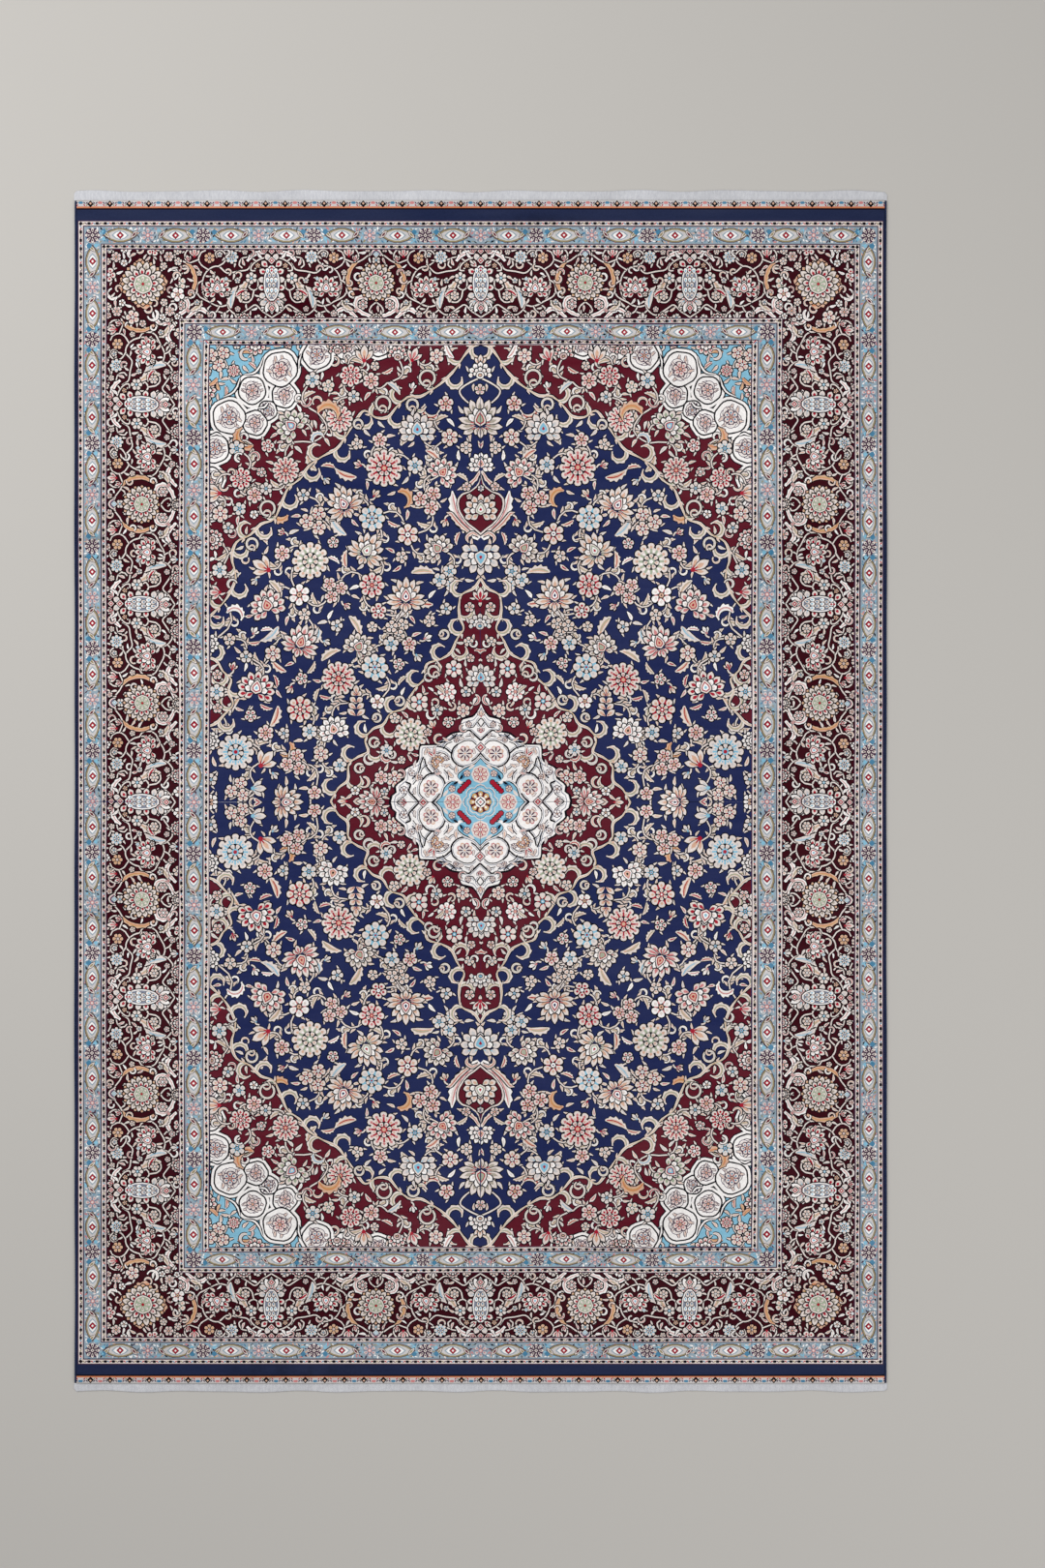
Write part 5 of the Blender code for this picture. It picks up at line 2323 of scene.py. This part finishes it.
def weave_group() -> bpy.types.NodeTree:
    """The look of woven threads: over and under in both directions, uneven and a little soiled."""
    group = new_group("woven_threads", {"Yarn": None, "Shadow": None, "Across": 900.0, "Along": 500.0})
    wires = Wiring(group)
    given, result = group.nodes["Group Input"], group.nodes["Group Output"]
    place = wires.node("ShaderNodeTexCoord").outputs["Object"]
    parts = wires.node("ShaderNodeSeparateXYZ")
    wires.join(place, parts.inputs[0])
    waves = []
    for axis, label in ((0, "Across"), (1, "Along")):
        phase = wires.math("MULTIPLY", parts.outputs[axis], given.outputs[label])
        waves.append(wires.math("SINE", wires.math("MULTIPLY", phase, 2 * math.pi), 0.0))
    over = wires.math("MULTIPLY", waves[0], waves[1])
    slubs = wires.noise(wires.stretched(place, (1.0, 0.3, 1.0)), 240.0, 3.0)
    soil = wires.noise(place, 9.0, 4.0)
    height = wires.math("ADD", wires.math("MULTIPLY", over, 0.5), slubs)
    mix = wires.node("ShaderNodeMix", data_type="RGBA")
    wires.join(wires.ramp(height, -0.1, 0.9, 0.0, 1.0), mix.inputs["Factor"])
    wires.join(given.outputs["Shadow"], mix.inputs["A"])
    wires.join(given.outputs["Yarn"], mix.inputs["B"])
    tint = wires.node("ShaderNodeHueSaturation")
    wires.join(mix.outputs["Result"], tint.inputs["Color"])
    wires.join(wires.ramp(soil, 0.35, 0.65, 0.93, 1.03), tint.inputs["Value"])
    wires.join(tint.outputs["Color"], result.inputs["Color"])
    wires.join(wires.ramp(slubs, 0.3, 0.7, 0.95, 0.8), result.inputs["Roughness"])
    wires.join(height, result.inputs["Height"])
    return group


# --------------------------------------------------------------------------- the studio


@dataclass(frozen=True)
class Studio:
    """A plain pale floor, soft lights, and a camera straight above.

    Attributes:
        scale: Metres of floor to a pixel of the photograph.
        rug_middle: Where the rug's middle shows in the photograph.
        lens: The camera's lens, in millimetres on a 36 mm sensor.
        reach: How far the floor goes each way, in metres.
    """

    scale: float = 2.0 / 840.0
    rug_middle: Pair = (496.7, 817.5)
    lens: float = 60.0
    sensor: float = 36.0
    reach: float = 9.0

    def floor(self) -> bpy.types.Object:
        """Lays the floor."""
        bm = bmesh.new()
        bmesh.ops.create_grid(bm, x_segments=1, y_segments=1, size=self.reach)
        mesh = bpy.data.meshes.new("studio_floor")
        bm.to_mesh(mesh)
        bm.free()
        material = bpy.data.materials.new("studio_floor")
        material.use_nodes = True
        shader = material.node_tree.nodes["Principled BSDF"]
        shader.inputs["Base Color"].default_value = (0.53, 0.51, 0.48, 1.0)
        shader.inputs["Roughness"].default_value = 0.8
        mesh.materials.append(material)
        return add_object("studio_floor", mesh)

    def camera(self) -> None:
        """Puts the camera straight above, so that the rug fills the frame as in the photograph."""
        view_height = PHOTO_HEIGHT * self.scale
        data = bpy.data.cameras.new("camera")
        data.lens = self.lens
        data.sensor_width = self.sensor
        data.clip_end = 50.0
        camera = add_object("camera", data)
        x = (PHOTO_WIDTH / 2 - self.rug_middle[0]) * self.scale
        y = (self.rug_middle[1] - PHOTO_HEIGHT / 2) * self.scale
        camera.location = (x, y, view_height * self.lens / self.sensor)
        bpy.context.scene.camera = camera

    def lights(self) -> None:
        """Hangs a large soft key light and a fill, and lights the room evenly."""
        for name, place, size, power in (
            ("key", (-2.6, 2.4, 4.2), 3.0, 150.0),
            ("fill", (3.0, -1.6, 4.0), 3.5, 75.0),
        ):
            data = bpy.data.lights.new(name, "AREA")
            data.size = size
            data.energy = power
            lamp = add_object(name, data)
            lamp.location = place
            aim = Vector((0, 0, 0)) - lamp.location
            lamp.rotation_euler = aim.to_track_quat("-Z", "Y").to_euler()
        world = bpy.data.worlds.new("studio")
        world.use_nodes = True
        world.node_tree.nodes["Background"].inputs["Color"].default_value = (1, 1, 1, 1)
        world.node_tree.nodes["Background"].inputs["Strength"].default_value = 0.44
        bpy.context.scene.world = world


def stretches(bands: Bands) -> tuple[tuple[str, Pair, Pair, int], ...]:
    """The pile's stretches in a quarter: name, lower corner, upper corner and folds of its map."""
    (field_x, field_y), (whole_x, whole_y) = bands.field, bands.whole
    return (
        ("field", (0.0, 0.0), (field_x, field_y), 1),
        ("side_border", (field_x, 0.0), (whole_x, whole_y), 2),
        ("end_border", (0.0, field_y), (field_x, whole_y), 1),
    )


def main() -> None:
    """Builds the rug's looks and the studio."""
    logging.basicConfig(level=logging.INFO, format="%(message)s")
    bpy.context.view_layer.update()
    bands = Bands()
    low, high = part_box("rug_body")
    lie = Lie(head=high.y, foot=low.y)
    chart = draw_quarter(bands)
    LOG.info("the quarter has %d shapes", len(chart.shapes))
    loom = Loom(chart)
    pile = PileFinish().make()
    for stretch, first, last, folds in stretches(bands):
        cut = loom.weave(first, last, (0.25, 0.8, 1.6))
        for end, end_word in ((1, "head"), (-1, "foot")):
            for side, side_word in ((-1, "left"), (1, "right")):
                name = f"{stretch}_{end_word}_{side_word}"
                piece = PilePiece(name, first, last, side, end, folds=folds).build(cut, lie, pile)
                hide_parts("rug_body")
    weave = weave_group()
    backing = WeaveFinish(
        "woven_backing", colour=(0.55, 0.50, 0.45), shadow=(0.20, 0.12, 0.13), threads=(420.0, 420.0)
    ).make(weave)
    yarn = WeaveFinish(
        "overcast_yarn", colour=(0.030, 0.048, 0.125), shadow=(0.006, 0.008, 0.022), threads=(900.0, 1500.0)
    ).make(weave)
    cotton = WeaveFinish("cotton", colour=(0.74, 0.745, 0.77), shadow=(0.45, 0.455, 0.50)).make(weave)
    foundation = Foundation(lie).build(backing)
    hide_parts("rug_body")
    for side, word in ((-1, "left"), (1, "right")):
        cord = SideCord(lie, side).build(yarn)
        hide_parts(f"side_cord_{word}")
    for end, word, waves in ((1, "head", HEAD_EDGE_WAVES), (-1, "foot", FOOT_EDGE_WAVES)):
        strip = EndStrip(lie, end, waves, crest(waves, 1.0)).build(cotton)
        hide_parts(f"end_strip_{word}")
    studio = Studio()
    floor = studio.floor()
    studio.camera()
    studio.lights()
    bpy.context.scene.view_settings.view_transform = "Standard"
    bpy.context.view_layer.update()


if __name__ == "__main__":
    main()
